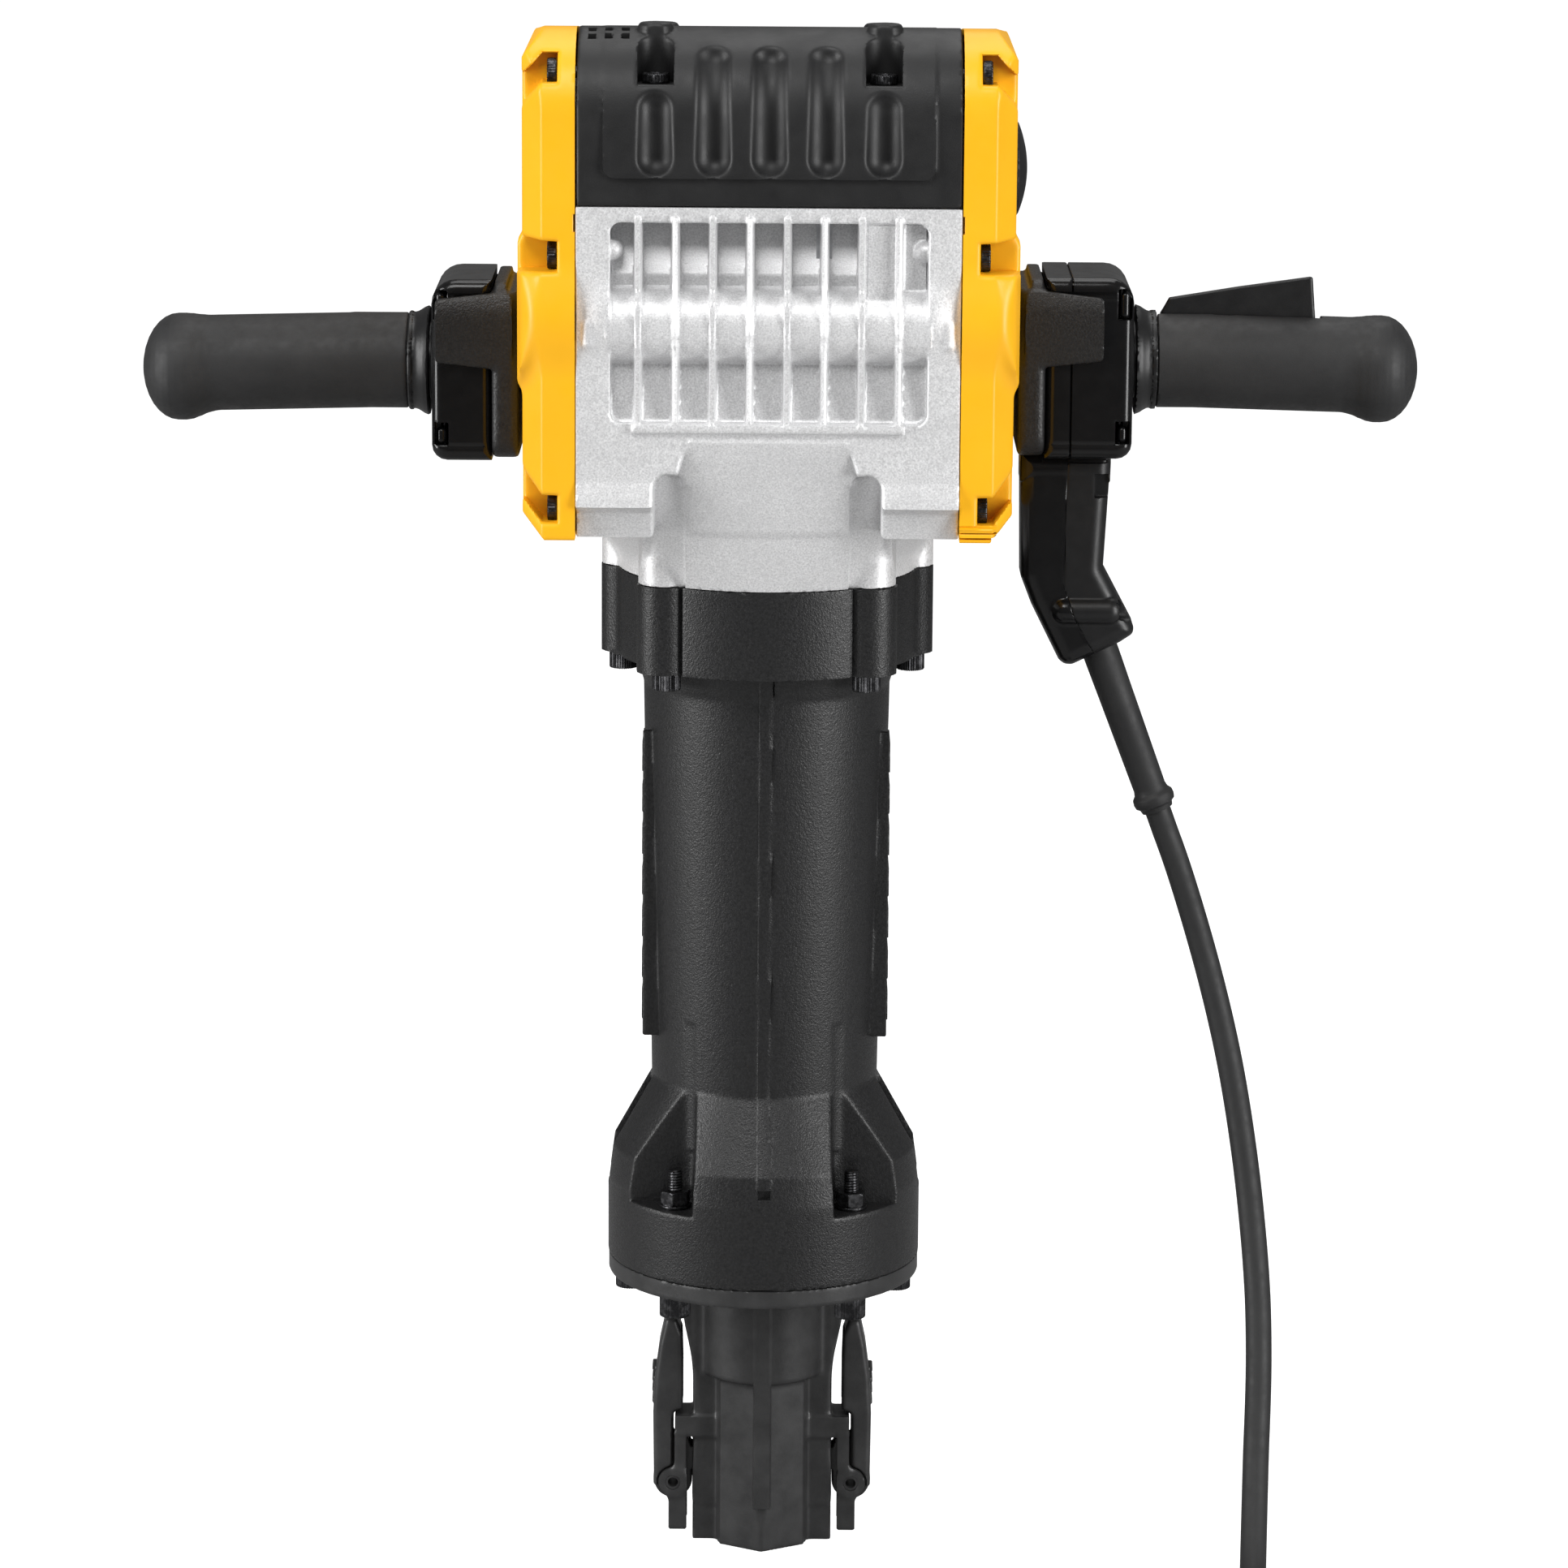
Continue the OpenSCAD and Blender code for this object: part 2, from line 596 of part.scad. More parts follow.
module left_pivot_pin() color(steel) mirror([1, 0, 0])
    rod_y(pivot_r, -housing_hy, housing_hy, pivot_x_left, handle_z_left);
spring_x_left = 163;
spring_x_right = 177;
module handle_springs(x, z) for (s = [1, -1]) translate([x, 0, z]) scale([1, 1, s])
    tube_z(7, 4.8, bar_hz, block_dz1 - shell_t);
module left_handle_springs() color(steel) mirror([1, 0, 0]) handle_springs(spring_x_left, handle_z_left);
module right_handle_springs() color(steel) handle_springs(spring_x_right, handle_z_right);
module right_pivot_pin() color(steel) rod_y(pivot_r, -housing_hy, housing_hy, pivot_x_right, handle_z_right);

// Trigger slot: the room in which the trigger swings
slot_x0 = 203;
slot_x1 = 289;
slot_hy = trigger_w / 2 + 0.8;
slot_floor = 650;
module trigger_slot() block(slot_x0, slot_x1, trigger_y - slot_hy, trigger_y + slot_hy, slot_floor, 700);
switch_z0 = 634;
module right_handle_arm() color(moulded_black) difference() {
    handle_arm(handle_z_right, block_x_right, grip_end_right - grip_wall_end, pivot_x_right);
    trigger_slot();
    block(224, 268, -9, 9, switch_z0, slot_floor + 1);
    rod_y(trigger_pin_r, -big, big, trigger_x, trigger_z);
}
trigger_pin_r = 2.5;
module right_grip() color("#2b2b2c") difference() {
    grip_solid(handle_z_right, grip_x_right, grip_end_right);
    trigger_slot();
    rod_y(trigger_pin_r, -big, big, trigger_x, trigger_z);
}
module trigger_side(y0, y1, fall) solid_y(y0, y1)
    polygon([[204.5, 655.5], [205.3, 674 - fall], [209, 681.6 - fall], [245, 687.6 - fall],
        [282.6, 693.2 - fall], [284, 692.4 - fall], [286.1, 668], [280, 661], [214, 655.5]]);
trigger_y0 = trigger_y - trigger_w / 2;
trigger_y1 = trigger_y + trigger_w / 2;
module trigger() color(moulded_black) difference() {
    hull() {
        trigger_side(trigger_y0, trigger_y0 + 1, 0);
        trigger_side(trigger_y1 - 1, trigger_y1, trigger_fall);
    }
    rod_y(trigger_pin_r + run_gap, -big, big, trigger_x, trigger_z);
}
module trigger_pin() color(steel) rod_y(trigger_pin_r, -16.8, 16.8, trigger_x, trigger_z);
module trigger_spring() color(steel) tube_z(4, 3, slot_floor, 660, 274, trigger_y);
module power_switch() color("#3b3b3b") {
    block(224, 268, -9, 9, switch_z0, slot_floor - 0.2);
    rod_z(2.5, slot_floor - 1, slot_floor + 1, 258, 0);
}

// ---- Cord arm, strain relief and cord ----

arm_hy_cord = 18;
arm_top = handle_z_right - block_dz0;
relief_a = [174.6, 0, 498];
relief_b = [208.6, 0, 407];
module arm_outline() polygon([[132.1, arm_top], [133.1, 535], [139, 520], [154, 490],
    [157, 487.5], [161, 487.2], [186, 499.4], [193, 504], [193.6, 508], [176.6, 539.5],
    [180, arm_top]]);
module arm_seam_side() polygon([[100, arm_top + 1], [split_x, arm_top + 1], [155.8, 531],
    [162, 513], [177, 486], [170, 470], [100, 470]]);
module arm_solid() difference() {
    union() {
        solid_y(-arm_hy_cord, arm_hy_cord) arm_outline();
        rod_x(7.4, 149, 184, -14, 517);
    }
    along(relief_a, relief_b) translate([0, 0, -4]) cylinder(r = 9.75, h = 60);
    solid_y(-11, 11) polygon([[139, arm_top - 6], [140, 535], [158, 510], [168, 516], [169.5, 540],
        [172, arm_top - 6]]);
    rod_x(screw_r, 140, 200, -14, 517);
    rod_x(6, 180.5, 200, -14, 517);
}
module cord_arm_inner() color(moulded_black) intersection() {
    arm_solid();
    solid_y(-30, 30) arm_seam_side();
}
module cord_arm_outer() color(moulded_black) difference() {
    arm_solid();
    solid_y(-30, 30) arm_seam_side();
}
module cord_arm_screws() color(steel) {
    rod_x(screw_r, 150, 180.5, -14, 517);
    rod_x(5, 180.5, 183.5, -14, 517);
}
// Places something that points along +Z so that it runs from a to b
module along(a, b) translate(a) rotate([0, atan2(b[0] - a[0], b[2] - a[2]), 0]) children();
relief_len = norm(relief_b - relief_a);
module strain_relief() color("#2b2b2c") along(relief_a, relief_b) rotate_extrude() polygon([
    [0, -4], [9.75, -4], [9.75, 10], [8.6, relief_len - 12], [11.2, relief_len - 8],
    [11.2, relief_len - 4], [8.5, relief_len], [0, relief_len]]);

// The cord's free route, from the strain relief down to the floor and into the coil
floor_z = cord_d / 2;
coil_c = [170, -250];
coil_r = 75;
coil_h = 2 * cord_d + 1;
// Cord between the coil's upper turn and the plug
tail = [[211, -321, 21.6], [189.3, -333.5, 20.9], [170, -344, 18], [153, -350.5, 16], [136, -353, 15]];
route = [[208.6, 0, 407], [213, 0, 395], [220, -1, 376], [230, -4, 345], [240, -9, 310],
    [249, -16, 272], [256, -25, 232], [261, -37, 192], [264, -52, 152], [264, -70, 114],
    [262, -90, 79], [260, -113, 50], [258, -137, 29], [256, -163, 16], [255, -190, 9.5],
    [254, -217, 7.7], [252, -250, floor_z + 0.2]];
function unit(v) = v / norm(v);
function tangent(p, i) = unit(p[min(i + 1, len(p) - 1)] - p[max(i - 1, 0)]);
function smooth_point(p, i, t) = let (
    a = p[max(i - 1, 0)], b = p[i], c = p[i + 1], d = p[min(i + 2, len(p) - 1)])
    0.5 * (2 * b + (c - a) * t + (2 * a - 5 * b + 4 * c - d) * t * t
        + (3 * b - a - 3 * c + d) * t * t * t);
function smooth(p, n = 2) = [for (i = [0:len(p) - 2]) for (k = [0:n - 1]) smooth_point(p, i, k / n),
    p[len(p) - 1]];
sides = 10;
function ring(p, i, r) = let (t = tangent(p, i), u = unit(cross([0, 1, 0.001], t)), v = cross(t, u))
    [for (k = [0:sides - 1]) p[i] + r * (u * cos(360 * k / sides) + v * sin(360 * k / sides))];
module sweep(p, r) {
    n = len(p);
    points = [for (i = [0:n - 1]) each ring(p, i, r)];
    walls = [for (i = [0:n - 2]) for (k = [0:sides - 1]) let (a = i * sides, j = (k + 1) % sides)
        each [[a + sides + j, a + j, a + k], [a + sides + k, a + sides + j, a + k]]];
    first_end = [for (k = [0:sides - 1]) k];
    last_end = [for (k = [0:sides - 1]) n * sides - 1 - k];
    polyhedron(points, concat(walls, [first_end, last_end]));
}
module cord_tube() color("#222223") sweep(smooth(route), cord_d / 2);
module cord_coil() color("#222223") translate([coil_c[0], coil_c[1], 0]) rotate_extrude()
    translate([coil_r - cord_d, 0]) square([2 * cord_d, coil_h]);

plug_y = -353;
plug_x = 88;
module plug_body() color("#222223") union() {
    rod_x(15, plug_x - 24, plug_x + 8, plug_y, 15);
    rod_x(8.5, plug_x + 8, plug_x + 48, plug_y, 15);
    sweep(smooth(tail), cord_d / 2 - 0.3);
}
module plug_blades() color("#c9b46c") {
    for (y = [-6.35, 6.35]) block(plug_x - 42, plug_x - 24, plug_y + y - 0.8, plug_y + y + 0.8, 12, 18.4);
    rod_x(2.4, plug_x - 45, plug_x - 24, plug_y, 24);
}

// ---- Motor ----

stator_x0 = -58;
stator_x1 = -2;
stator_r = 38.5;
stator_flat = 36;
module motor_stator() color("#77787c") difference() {
    rod_x(stator_r, stator_x0, stator_x1, 0, motor_z);
    rod_x(27.4, stator_x0 - 1, stator_x1 + 1, 0, motor_z);
    front_and_back() block(stator_x0 - 1, stator_x1 + 1, -stator_r - 1, -stator_flat, 0, 2 * motor_z);
}
small_bearing_ro = 16;
small_bearing_ri = 6;
bracket_hx = 6;
module motor_end_bracket() color("#b9babd") difference() {
    union() {
        block(-core_hw + 0.5, -core_hw + 0.5 + bracket_hx, -60, 60, cover_seam_z + 2, housing_z1 - 21);
        rod_x(22, -core_hw - 9, -core_hw + 1, 0, motor_z);
    }
    rod_x(small_bearing_ro, -core_hw - 10, -core_hw + bracket_hx + 1, 0, motor_z);
}
mid_a = module_1 * (teeth_pinion + teeth_mid_gear) / 2;
mid_b = module_2 * (teeth_mid_pinion + teeth_crank) / 2;
span = motor_z - crank_z;
mid_dz = (mid_b * mid_b - mid_a * mid_a + span * span) / (2 * span);
mid_y = sqrt(mid_b * mid_b - mid_dz * mid_dz);
mid_z = crank_z + mid_dz;
module partition(z0) polygon([[-hd + cast_wall, z0], [hd - cast_wall, z0],
    [hd - cast_wall, cover_seam_z], [70, 800], [-70, 806], [-hd + cast_wall, cover_seam_z]]);
bulkhead_x = 24;
module motor_bulkhead() color("#b9babd") difference() {
    solid_x(bulkhead_x, bulkhead_x + 8) intersection() {
        partition(700);
        translate([-98, 0]) square([196, 1000]);
    }
    rod_x(12, bulkhead_x - 1, bulkhead_x + 9, 0, motor_z);
    rod_x(small_bearing_ro, bulkhead_x - 1, bulkhead_x + 9, mid_y, mid_z);
}
plate_right_x = 80;
module gear_plate() color("#b9babd") difference() {
    solid_x(plate_right_x, plate_right_x + 8) intersection() {
        partition(714);
        translate([-98, 0]) square([196, 1000]);
    }
    rod_x(small_bearing_ro, plate_right_x - 1, plate_right_x + 9, 0, motor_z);
    rod_x(small_bearing_ro, plate_right_x - 1, plate_right_x + 9, mid_y, mid_z);
}
module bearing(ro, ri, x0, x1, y, z) tube_x(ro, ri, x0, x1, y, z);
crank_journal_r = 12.5;
module shaft_bearings() color(steel) {
    bearing(small_bearing_ro, small_bearing_ri + run_gap, -core_hw - 9, -core_hw + 1, 0, motor_z);
    bearing(small_bearing_ro, small_bearing_ri + run_gap, plate_right_x, plate_right_x + 8, 0, motor_z);
    bearing(small_bearing_ro, small_bearing_ri + run_gap, plate_right_x, plate_right_x + 8, mid_y, mid_z);
    bearing(small_bearing_ro, small_bearing_ri + run_gap, bulkhead_x, bulkhead_x + 8, mid_y, mid_z);
    both_sides() bearing(crank_bearing_r, crank_journal_r + run_gap, crank_bearing_x,
        core_hw - cast_wall - 0.1, 0, crank_z);
}
// Outline of a spur gear with straight-sided teeth
module gear_outline(teeth, m, turn) {
    r = teeth * m / 2;
    step = 360 / teeth;
    polygon([for (i = [0:teeth - 1]) let (a = turn + i * step) each [
        on_circle(r - 1.25 * m, a - 0.34 * step), on_circle(r - 0.2 * m, a - 0.25 * step),
        on_circle(r + 0.8 * m, a - 0.1 * step), on_circle(r + 0.8 * m, a + 0.1 * step),
        on_circle(r - 0.2 * m, a + 0.25 * step), on_circle(r - 1.25 * m, a + 0.34 * step)]]);
}
module gear(teeth, m, turn, x0, x1, y, z) translate([x0, y, z]) rotate([90, 0, 90])
    linear_extrude(x1 - x0) gear_outline(teeth, m, turn);
// Directions from one shaft to the next, seen along the shafts
dir_1 = atan2(mid_z - motor_z, mid_y);
dir_2 = atan2(crank_z - mid_z, -mid_y);
module armature() color(steel) {
    rod_x(small_bearing_ri, -core_hw - 9, plate_right_x + 8, 0, motor_z);
    rod_x(26.6, stator_x0 + 2, stator_x1 - 2, 0, motor_z);
    gear(teeth_pinion, module_1, dir_1, 59, 73, 0, motor_z);
}
module commutator() color("#b87345") tube_x(17, small_bearing_ri, -84, -66, 0, motor_z);
module cooling_fan() color("#2b2b2c") {
    tube_x(12, small_bearing_ri, 4, 18, 0, motor_z);
    tube_x(37, 11, 4, 6, 0, motor_z);
    for (k = [0:8]) translate([0, 0, motor_z]) rotate([k * 40, 0, 0]) block(5, 18, 11, 37, -1, 1);
}
module brush_holders() color("#b58a3c") front_and_back() difference() {
    block(-80, -70, -42, -17.4, motor_z - 6, motor_z + 6);
    block(-81, -69, -50, -38, motor_z - 4, motor_z + 4);
}
mid_turn_1 = dir_1 + 180 + 180 / teeth_mid_gear;
module intermediate_gear() color(steel) {
    rod_x(small_bearing_ri, bulkhead_x, plate_right_x + 8, mid_y, mid_z);
    gear(teeth_mid_gear, module_1, mid_turn_1, 60, 72, mid_y, mid_z);
    gear(teeth_mid_pinion, module_2, dir_2, 38, 58, mid_y, mid_z);
}

// ---- Crank and hammer mechanism ----

web_x0 = 13.2;
web_x1 = 21;
crank_pin_r = 11;
// The crank rests with its pin at the bottom
module crankshaft() color(steel) {
    both_sides() {
        rod_x(crank_journal_r, web_x1 - 1, core_hw - cast_wall - 0.3, 0, crank_z);
        intersection() {
            rod_x(36, web_x0, web_x1, 0, crank_z);
            block(web_x0, web_x1, -24, 24, 0, 2 * crank_z);
        }
    }
    rod_x(crank_pin_r, -web_x0 - 1, web_x0 + 1, 0, crank_z - crank_throw);
}
module crank_gear() color(steel) difference() {
    gear(teeth_crank, module_2, dir_2 + 180 + 180 / teeth_crank, 40, 56, 0, crank_z);
    rod_x(crank_journal_r, 39, 57, 0, crank_z);
}
rod_len = 150;
wrist_z = crank_z - crank_throw - rod_len;
module connecting_rod() color(steel) difference() {
    union() {
        rod_x(18, -12.6, 12.6, 0, crank_z - crank_throw);
        block(-8, 8, -8, 8, wrist_z, crank_z - crank_throw);
        rod_x(11.5, -8, 8, 0, wrist_z);
    }
    rod_x(crank_pin_r + run_gap, -14, 14, 0, crank_z - crank_throw);
    rod_x(wrist_r, -9, 9, 0, wrist_z);
}
wrist_r = 6.5;
module wrist_pin() color(steel) rod_x(wrist_r, -15, 15, 0, wrist_z);
piston_skirt_ri = 33;
piston_z0 = 436;
piston_floor = 454;
piston_z1 = 520;
module piston() color("#b4b6ba") difference() {
    rod_z(cyl_bore_r - run_gap, piston_z0, piston_z1, 0, 0);
    rod_z(piston_skirt_ri, piston_floor, piston_z1 + 1, 0, 0);
}
sleeve_z0 = 250;
sleeve_z1 = 566;
module cylinder_sleeve() color(steel) tube_z(barrel_bore_r, cyl_bore_r, sleeve_z0, sleeve_z1);
module ram() color(steel) difference() {
    rod_z(cyl_bore_r - run_gap, 262, 352, 0, 0);
    rod_z(22, 292, 353, 0, 0);
}
beat_top = 244;
module beat_piece_bush() color(steel) tube_z(barrel_bore_r, beat_r + run_gap, flange_z1, 236);
module beat_piece() color(steel) rod_z(beat_r, hex_depth, beat_top, 0, 0);

gearcase();
motor_cover();
left_side_cover();
right_side_cover();
service_cap();
cover_screws();
barrel();
barrel_bolts();
tool_holder();
holder_bolts();
holder_nuts();
latch_lever_left();
latch_lever_right();
latch_pins();
latch_spring_left();
latch_spring_right();
left_handle_bracket();
left_handle_housing();
left_handle_arm();
left_grip();
left_pivot_pin();
left_handle_springs();
right_handle_bracket();
right_handle_housing_inner();
right_handle_housing_outer();
right_handle_arm();
right_grip();
right_pivot_pin();
right_handle_springs();
trigger();
trigger_pin();
trigger_spring();
power_switch();
cord_arm_inner();
cord_arm_outer();
cord_arm_screws();
strain_relief();
cord_tube();
cord_coil();
plug_body();
plug_blades();
motor_stator();
motor_end_bracket();
motor_bulkhead();
gear_plate();
armature();
commutator();
cooling_fan();
brush_holders();
shaft_bearings();
intermediate_gear();
crankshaft();
crank_gear();
connecting_rod();
wrist_pin();
piston();
cylinder_sleeve();
ram();
beat_piece();
beat_piece_bush();
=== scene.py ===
"""Electric demolition hammer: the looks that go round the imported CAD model."""
import json
import math
import bpy
import numpy as np
from mathutils import Matrix, Vector


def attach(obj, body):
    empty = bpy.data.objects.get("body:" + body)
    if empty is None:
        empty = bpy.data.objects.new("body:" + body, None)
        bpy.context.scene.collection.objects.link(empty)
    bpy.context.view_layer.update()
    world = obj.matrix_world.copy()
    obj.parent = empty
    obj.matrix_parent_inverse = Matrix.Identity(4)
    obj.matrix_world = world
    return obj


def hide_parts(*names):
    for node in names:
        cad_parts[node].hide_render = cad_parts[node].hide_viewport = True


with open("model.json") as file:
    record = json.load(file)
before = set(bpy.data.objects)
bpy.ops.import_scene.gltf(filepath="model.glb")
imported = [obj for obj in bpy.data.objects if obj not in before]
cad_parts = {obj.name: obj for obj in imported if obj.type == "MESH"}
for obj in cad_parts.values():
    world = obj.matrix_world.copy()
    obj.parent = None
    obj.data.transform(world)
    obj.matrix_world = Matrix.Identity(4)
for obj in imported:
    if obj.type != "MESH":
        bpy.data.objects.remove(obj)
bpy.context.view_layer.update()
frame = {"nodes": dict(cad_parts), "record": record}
NODES = frame["nodes"]
MM = 0.001
SCENE = bpy.context.scene


def add_object(name, data):
    made = bpy.data.objects.new(name, data)
    SCENE.collection.objects.link(made)
    return made


# ---- Camera, lights and stage ----

def make_camera():
    """A long lens that looks down a little, at the hammer's middle."""
    distance, pitch, roll = 3.2, math.radians(12.2), math.radians(0.4)
    target = Vector((0.0095, 0.0, 0.4193))
    data = bpy.data.cameras.new("camera")
    data.sensor_width = 36
    data.lens = 138.0
    data.clip_end = 50
    camera = add_object("camera", data)
    place = target + Vector((0, -math.cos(pitch), math.sin(pitch))) * distance
    camera.matrix_world = (Matrix.Translation(place) @ Matrix.Rotation(math.pi / 2 - pitch, 4, "X")
                           @ Matrix.Rotation(roll, 4, "Z"))
    SCENE.camera = camera


def area_light(name, place, target, size, power):
    data = bpy.data.lights.new(name, "AREA")
    data.shape = "RECTANGLE"
    data.size, data.size_y = size
    data.energy = power
    light = add_object(name, data)
    aim = Vector(target) - Vector(place)
    light.matrix_world = Matrix.Translation(place) @ aim.to_track_quat("-Z", "Y").to_matrix().to_4x4()


def make_lights():
    """A tall soft box on each side, a key light, one overhead, one behind, and a dim surround."""
    world = bpy.data.worlds.new("studio")
    world.use_nodes = True
    surround = world.node_tree.nodes["Background"]
    surround.inputs["Color"].default_value = (1, 1, 1, 1)
    surround.inputs["Strength"].default_value = 0.16
    SCENE.world = world
    SCENE.view_settings.view_transform = "Standard"
    middle = (0, 0, 0.45)
    area_light("left", (-2.25, -0.85, 1.0), middle, (0.8, 2.0), 56)
    area_light("right", (2.0, -1.3, 0.9), middle, (0.8, 2.0), 56)
    area_light("key", (-0.5, -1.7, 2.6), middle, (1.4, 0.9), 30)
    area_light("top", (0, 0.3, 2.6), middle, (1.4, 1.0), 14)
    area_light("back", (0.5, 1.8, 2.9), middle, (1.6, 1.2), 10)


def make_floor():
    """A white floor that glows enough to leave no horizon; its glow falls on nothing but itself."""
    mesh = bpy.data.meshes.new("floor")
    half = 12.0
    mesh.from_pydata([(-half, -half, 0), (half, -half, 0), (half, half, 0), (-half, half, 0)], [],
                     [(0, 1, 2, 3)])
    floor = add_object("floor", mesh)
    material = bpy.data.materials.new("floor")
    material.use_nodes = True
    shader = material.node_tree.nodes["Principled BSDF"]
    for key, value in (("Base Color", (0.3, 0.3, 0.3, 1)), ("Roughness", 0.9), ("Specular IOR Level", 0.0),
                       ("Emission Color", (1, 1, 1, 1)), ("Emission Strength", 1.0)):
        shader.inputs[key].default_value = value
    mesh.materials.append(material)
    lit = bpy.data.collections.new("floor_light")
    lit.objects.link(floor)
    floor.light_linking.receiver_collection = lit


# ---- Materials ----

class Look:
    """A Principled material, and the noise nodes that give it its detail."""

    def __init__(self, name, colour, roughness, metallic=0.0, **more):
        self.material = bpy.data.materials.new(name)
        self.material.use_nodes = True
        self.tree = self.material.node_tree
        self.shader = self.tree.nodes["Principled BSDF"]
        self.shader.inputs["Base Color"].default_value = (*colour, 1)
        self.shader.inputs["Roughness"].default_value = roughness
        self.shader.inputs["Metallic"].default_value = metallic
        for key, value in more.items():
            self.shader.inputs[key.replace("_", " ")].default_value = value
        self.place = self.node("ShaderNodeTexCoord").outputs["Object"]

    def node(self, kind, **settings):
        node = self.tree.nodes.new(kind)
        for key, value in settings.items():
            setattr(node, key, value)
        return node

    def link(self, source, target):
        self.tree.links.new(source, target)

    def noise(self, size, detail=4.0, rough=0.6, stretch=None):
        """Noise whose features are about this many millimetres."""
        node = self.node("ShaderNodeTexNoise")
        node.inputs["Scale"].default_value = 1000.0 / size
        node.inputs["Detail"].default_value = detail
        node.inputs["Roughness"].default_value = rough
        place = self.place
        if stretch:
            mapping = self.node("ShaderNodeMapping")
            mapping.inputs["Scale"].default_value = stretch
            self.link(place, mapping.inputs["Vector"])
            place = mapping.outputs["Vector"]
        self.link(place, node.inputs["Vector"])
        return node.outputs["Fac"]

    def cells(self, size, feature="F1"):
        node = self.node("ShaderNodeTexVoronoi", feature=feature)
        node.inputs["Scale"].default_value = 1000.0 / size
        self.link(self.place, node.inputs["Vector"])
        return node.outputs["Distance"]

    def ramp(self, value, low, high, start, end):
        """Maps low..high of a value to start..end."""
        node = self.node("ShaderNodeMapRange")
        for key, number in zip(("From Min", "From Max", "To Min", "To Max"), (low, high, start, end)):
            node.inputs[key].default_value = number
        self.link(value, node.inputs["Value"])
        return node.outputs["Result"]

    def mix(self, factor, a, b):
        """Mixes two colours, each a triple or a socket."""
        node = self.node("ShaderNodeMix", data_type="RGBA")
        colour_a, colour_b = node.inputs[6], node.inputs[7]
        self.link(factor, node.inputs[0])
        for socket, colour in ((colour_a, a), (colour_b, b)):
            if isinstance(colour, tuple):
                socket.default_value = (*colour, 1)
            else:
                self.link(colour, socket)
        return node.outputs[2]

    def colour(self, socket):
        self.link(socket, self.shader.inputs["Base Color"])

    def shade(self, noise, low, high, dark, light):
        """Colour that goes from dark to light as a noise goes from low to high."""
        self.colour(self.mix(self.ramp(noise, low, high, 0, 1), dark, light))

    def roughness(self, noise, low, high, smooth, rough):
        self.link(self.ramp(noise, low, high, smooth, rough), self.shader.inputs["Roughness"])

    def bump(self, *layers):
        """Layers are (height socket, depth in millimetres)."""
        normal = None
        for height, depth in layers:
            node = self.node("ShaderNodeBump")
            node.inputs["Strength"].default_value = 1.0
            node.inputs["Distance"].default_value = depth * MM
            self.link(height, node.inputs["Height"])
            if normal:
                self.link(normal, node.inputs["Normal"])
            normal = node.outputs["Normal"]
        self.link(normal, self.shader.inputs["Normal"])


def cast_look():
    """Bare sand-blasted casting: light grey with a fine metallic speckle."""
    look = Look("cast_aluminium", (0.75, 0.75, 0.755), 0.46, 0.4)
    grain, cloud = look.noise(0.9, 3.0), look.noise(26.0, 3.0)
    tone = look.mix(look.ramp(grain, 0.3, 0.7, 0, 1), (0.60, 0.60, 0.605), (0.93, 0.93, 0.935))
    tone = look.mix(look.ramp(cloud, 0.35, 0.7, 0.0, 0.25), tone, (0.58, 0.58, 0.585))
    look.colour(tone)
    look.roughness(grain, 0.25, 0.75, 0.34, 0.54)
    look.bump((grain, 0.10), (look.noise(3.2, 2.0), 0.08))
    return look.material


def moulded_look():
    """Black moulding with a fine matt grain."""
    look = Look("moulded_black", (0.010, 0.010, 0.0105), 0.46, 0.0, Specular_IOR_Level=0.42)
    grain = look.noise(0.8, 2.0)
    look.shade(look.noise(40.0), 0.3, 0.7, (0.007, 0.007, 0.0073), (0.011, 0.011, 0.0114))
    look.roughness(look.noise(18.0, 5.0), 0.3, 0.7, 0.42, 0.56)
    look.bump((grain, 0.06))
    return look.material


def yellow_look():
    """Satin orange-yellow moulding."""
    look = Look("yellow_shell", (0.92, 0.42, 0.008), 0.36, 0.0, Specular_IOR_Level=0.4)
    look.shade(look.noise(60.0, 3.0), 0.3, 0.7, (0.88, 0.43, 0.007), (0.93, 0.46, 0.009))
    look.roughness(look.noise(12.0, 6.0), 0.3, 0.7, 0.34, 0.46)
    look.bump((look.noise(0.7, 2.0), 0.03))
    return look.material


def black_casting_look():
    """Textured black coat on a casting."""
    look = Look("black_casting", (0.010, 0.010, 0.0105), 0.42, 0.0, Specular_IOR_Level=0.45)
    grain, fine = look.noise(1.5, 3.0), look.cells(0.9)
    look.shade(grain, 0.35, 0.7, (0.006, 0.006, 0.0063), (0.015, 0.015, 0.0155))
    look.roughness(look.noise(0.8, 2.0), 0.3, 0.7, 0.28, 0.55)
    look.bump((grain, 0.22), (fine, 0.10))
    return look.material


def black_steel_look():
    """Dark blued steel with cloudy wear."""
    look = Look("black_steel", (0.03, 0.03, 0.031), 0.4, 0.45, Specular_IOR_Level=0.45)
    wear = look.noise(14.0, 8.0)
    look.shade(wear, 0.35, 0.8, (0.042, 0.042, 0.0425), (0.064, 0.064, 0.0645))
    look.roughness(wear, 0.3, 0.7, 0.36, 0.48)
    look.bump((look.noise(1.2, 3.0), 0.05))
    return look.material


def gloss_look():
    """Smooth black moulding of the handle housings."""
    look = Look("housing_plastic", (0.005, 0.005, 0.0053), 0.22, 0.0, Specular_IOR_Level=0.38)
    look.roughness(look.noise(9.0, 6.0), 0.3, 0.7, 0.16, 0.26)
    look.bump((look.noise(2.5, 2.0), 0.015))
    return look.material


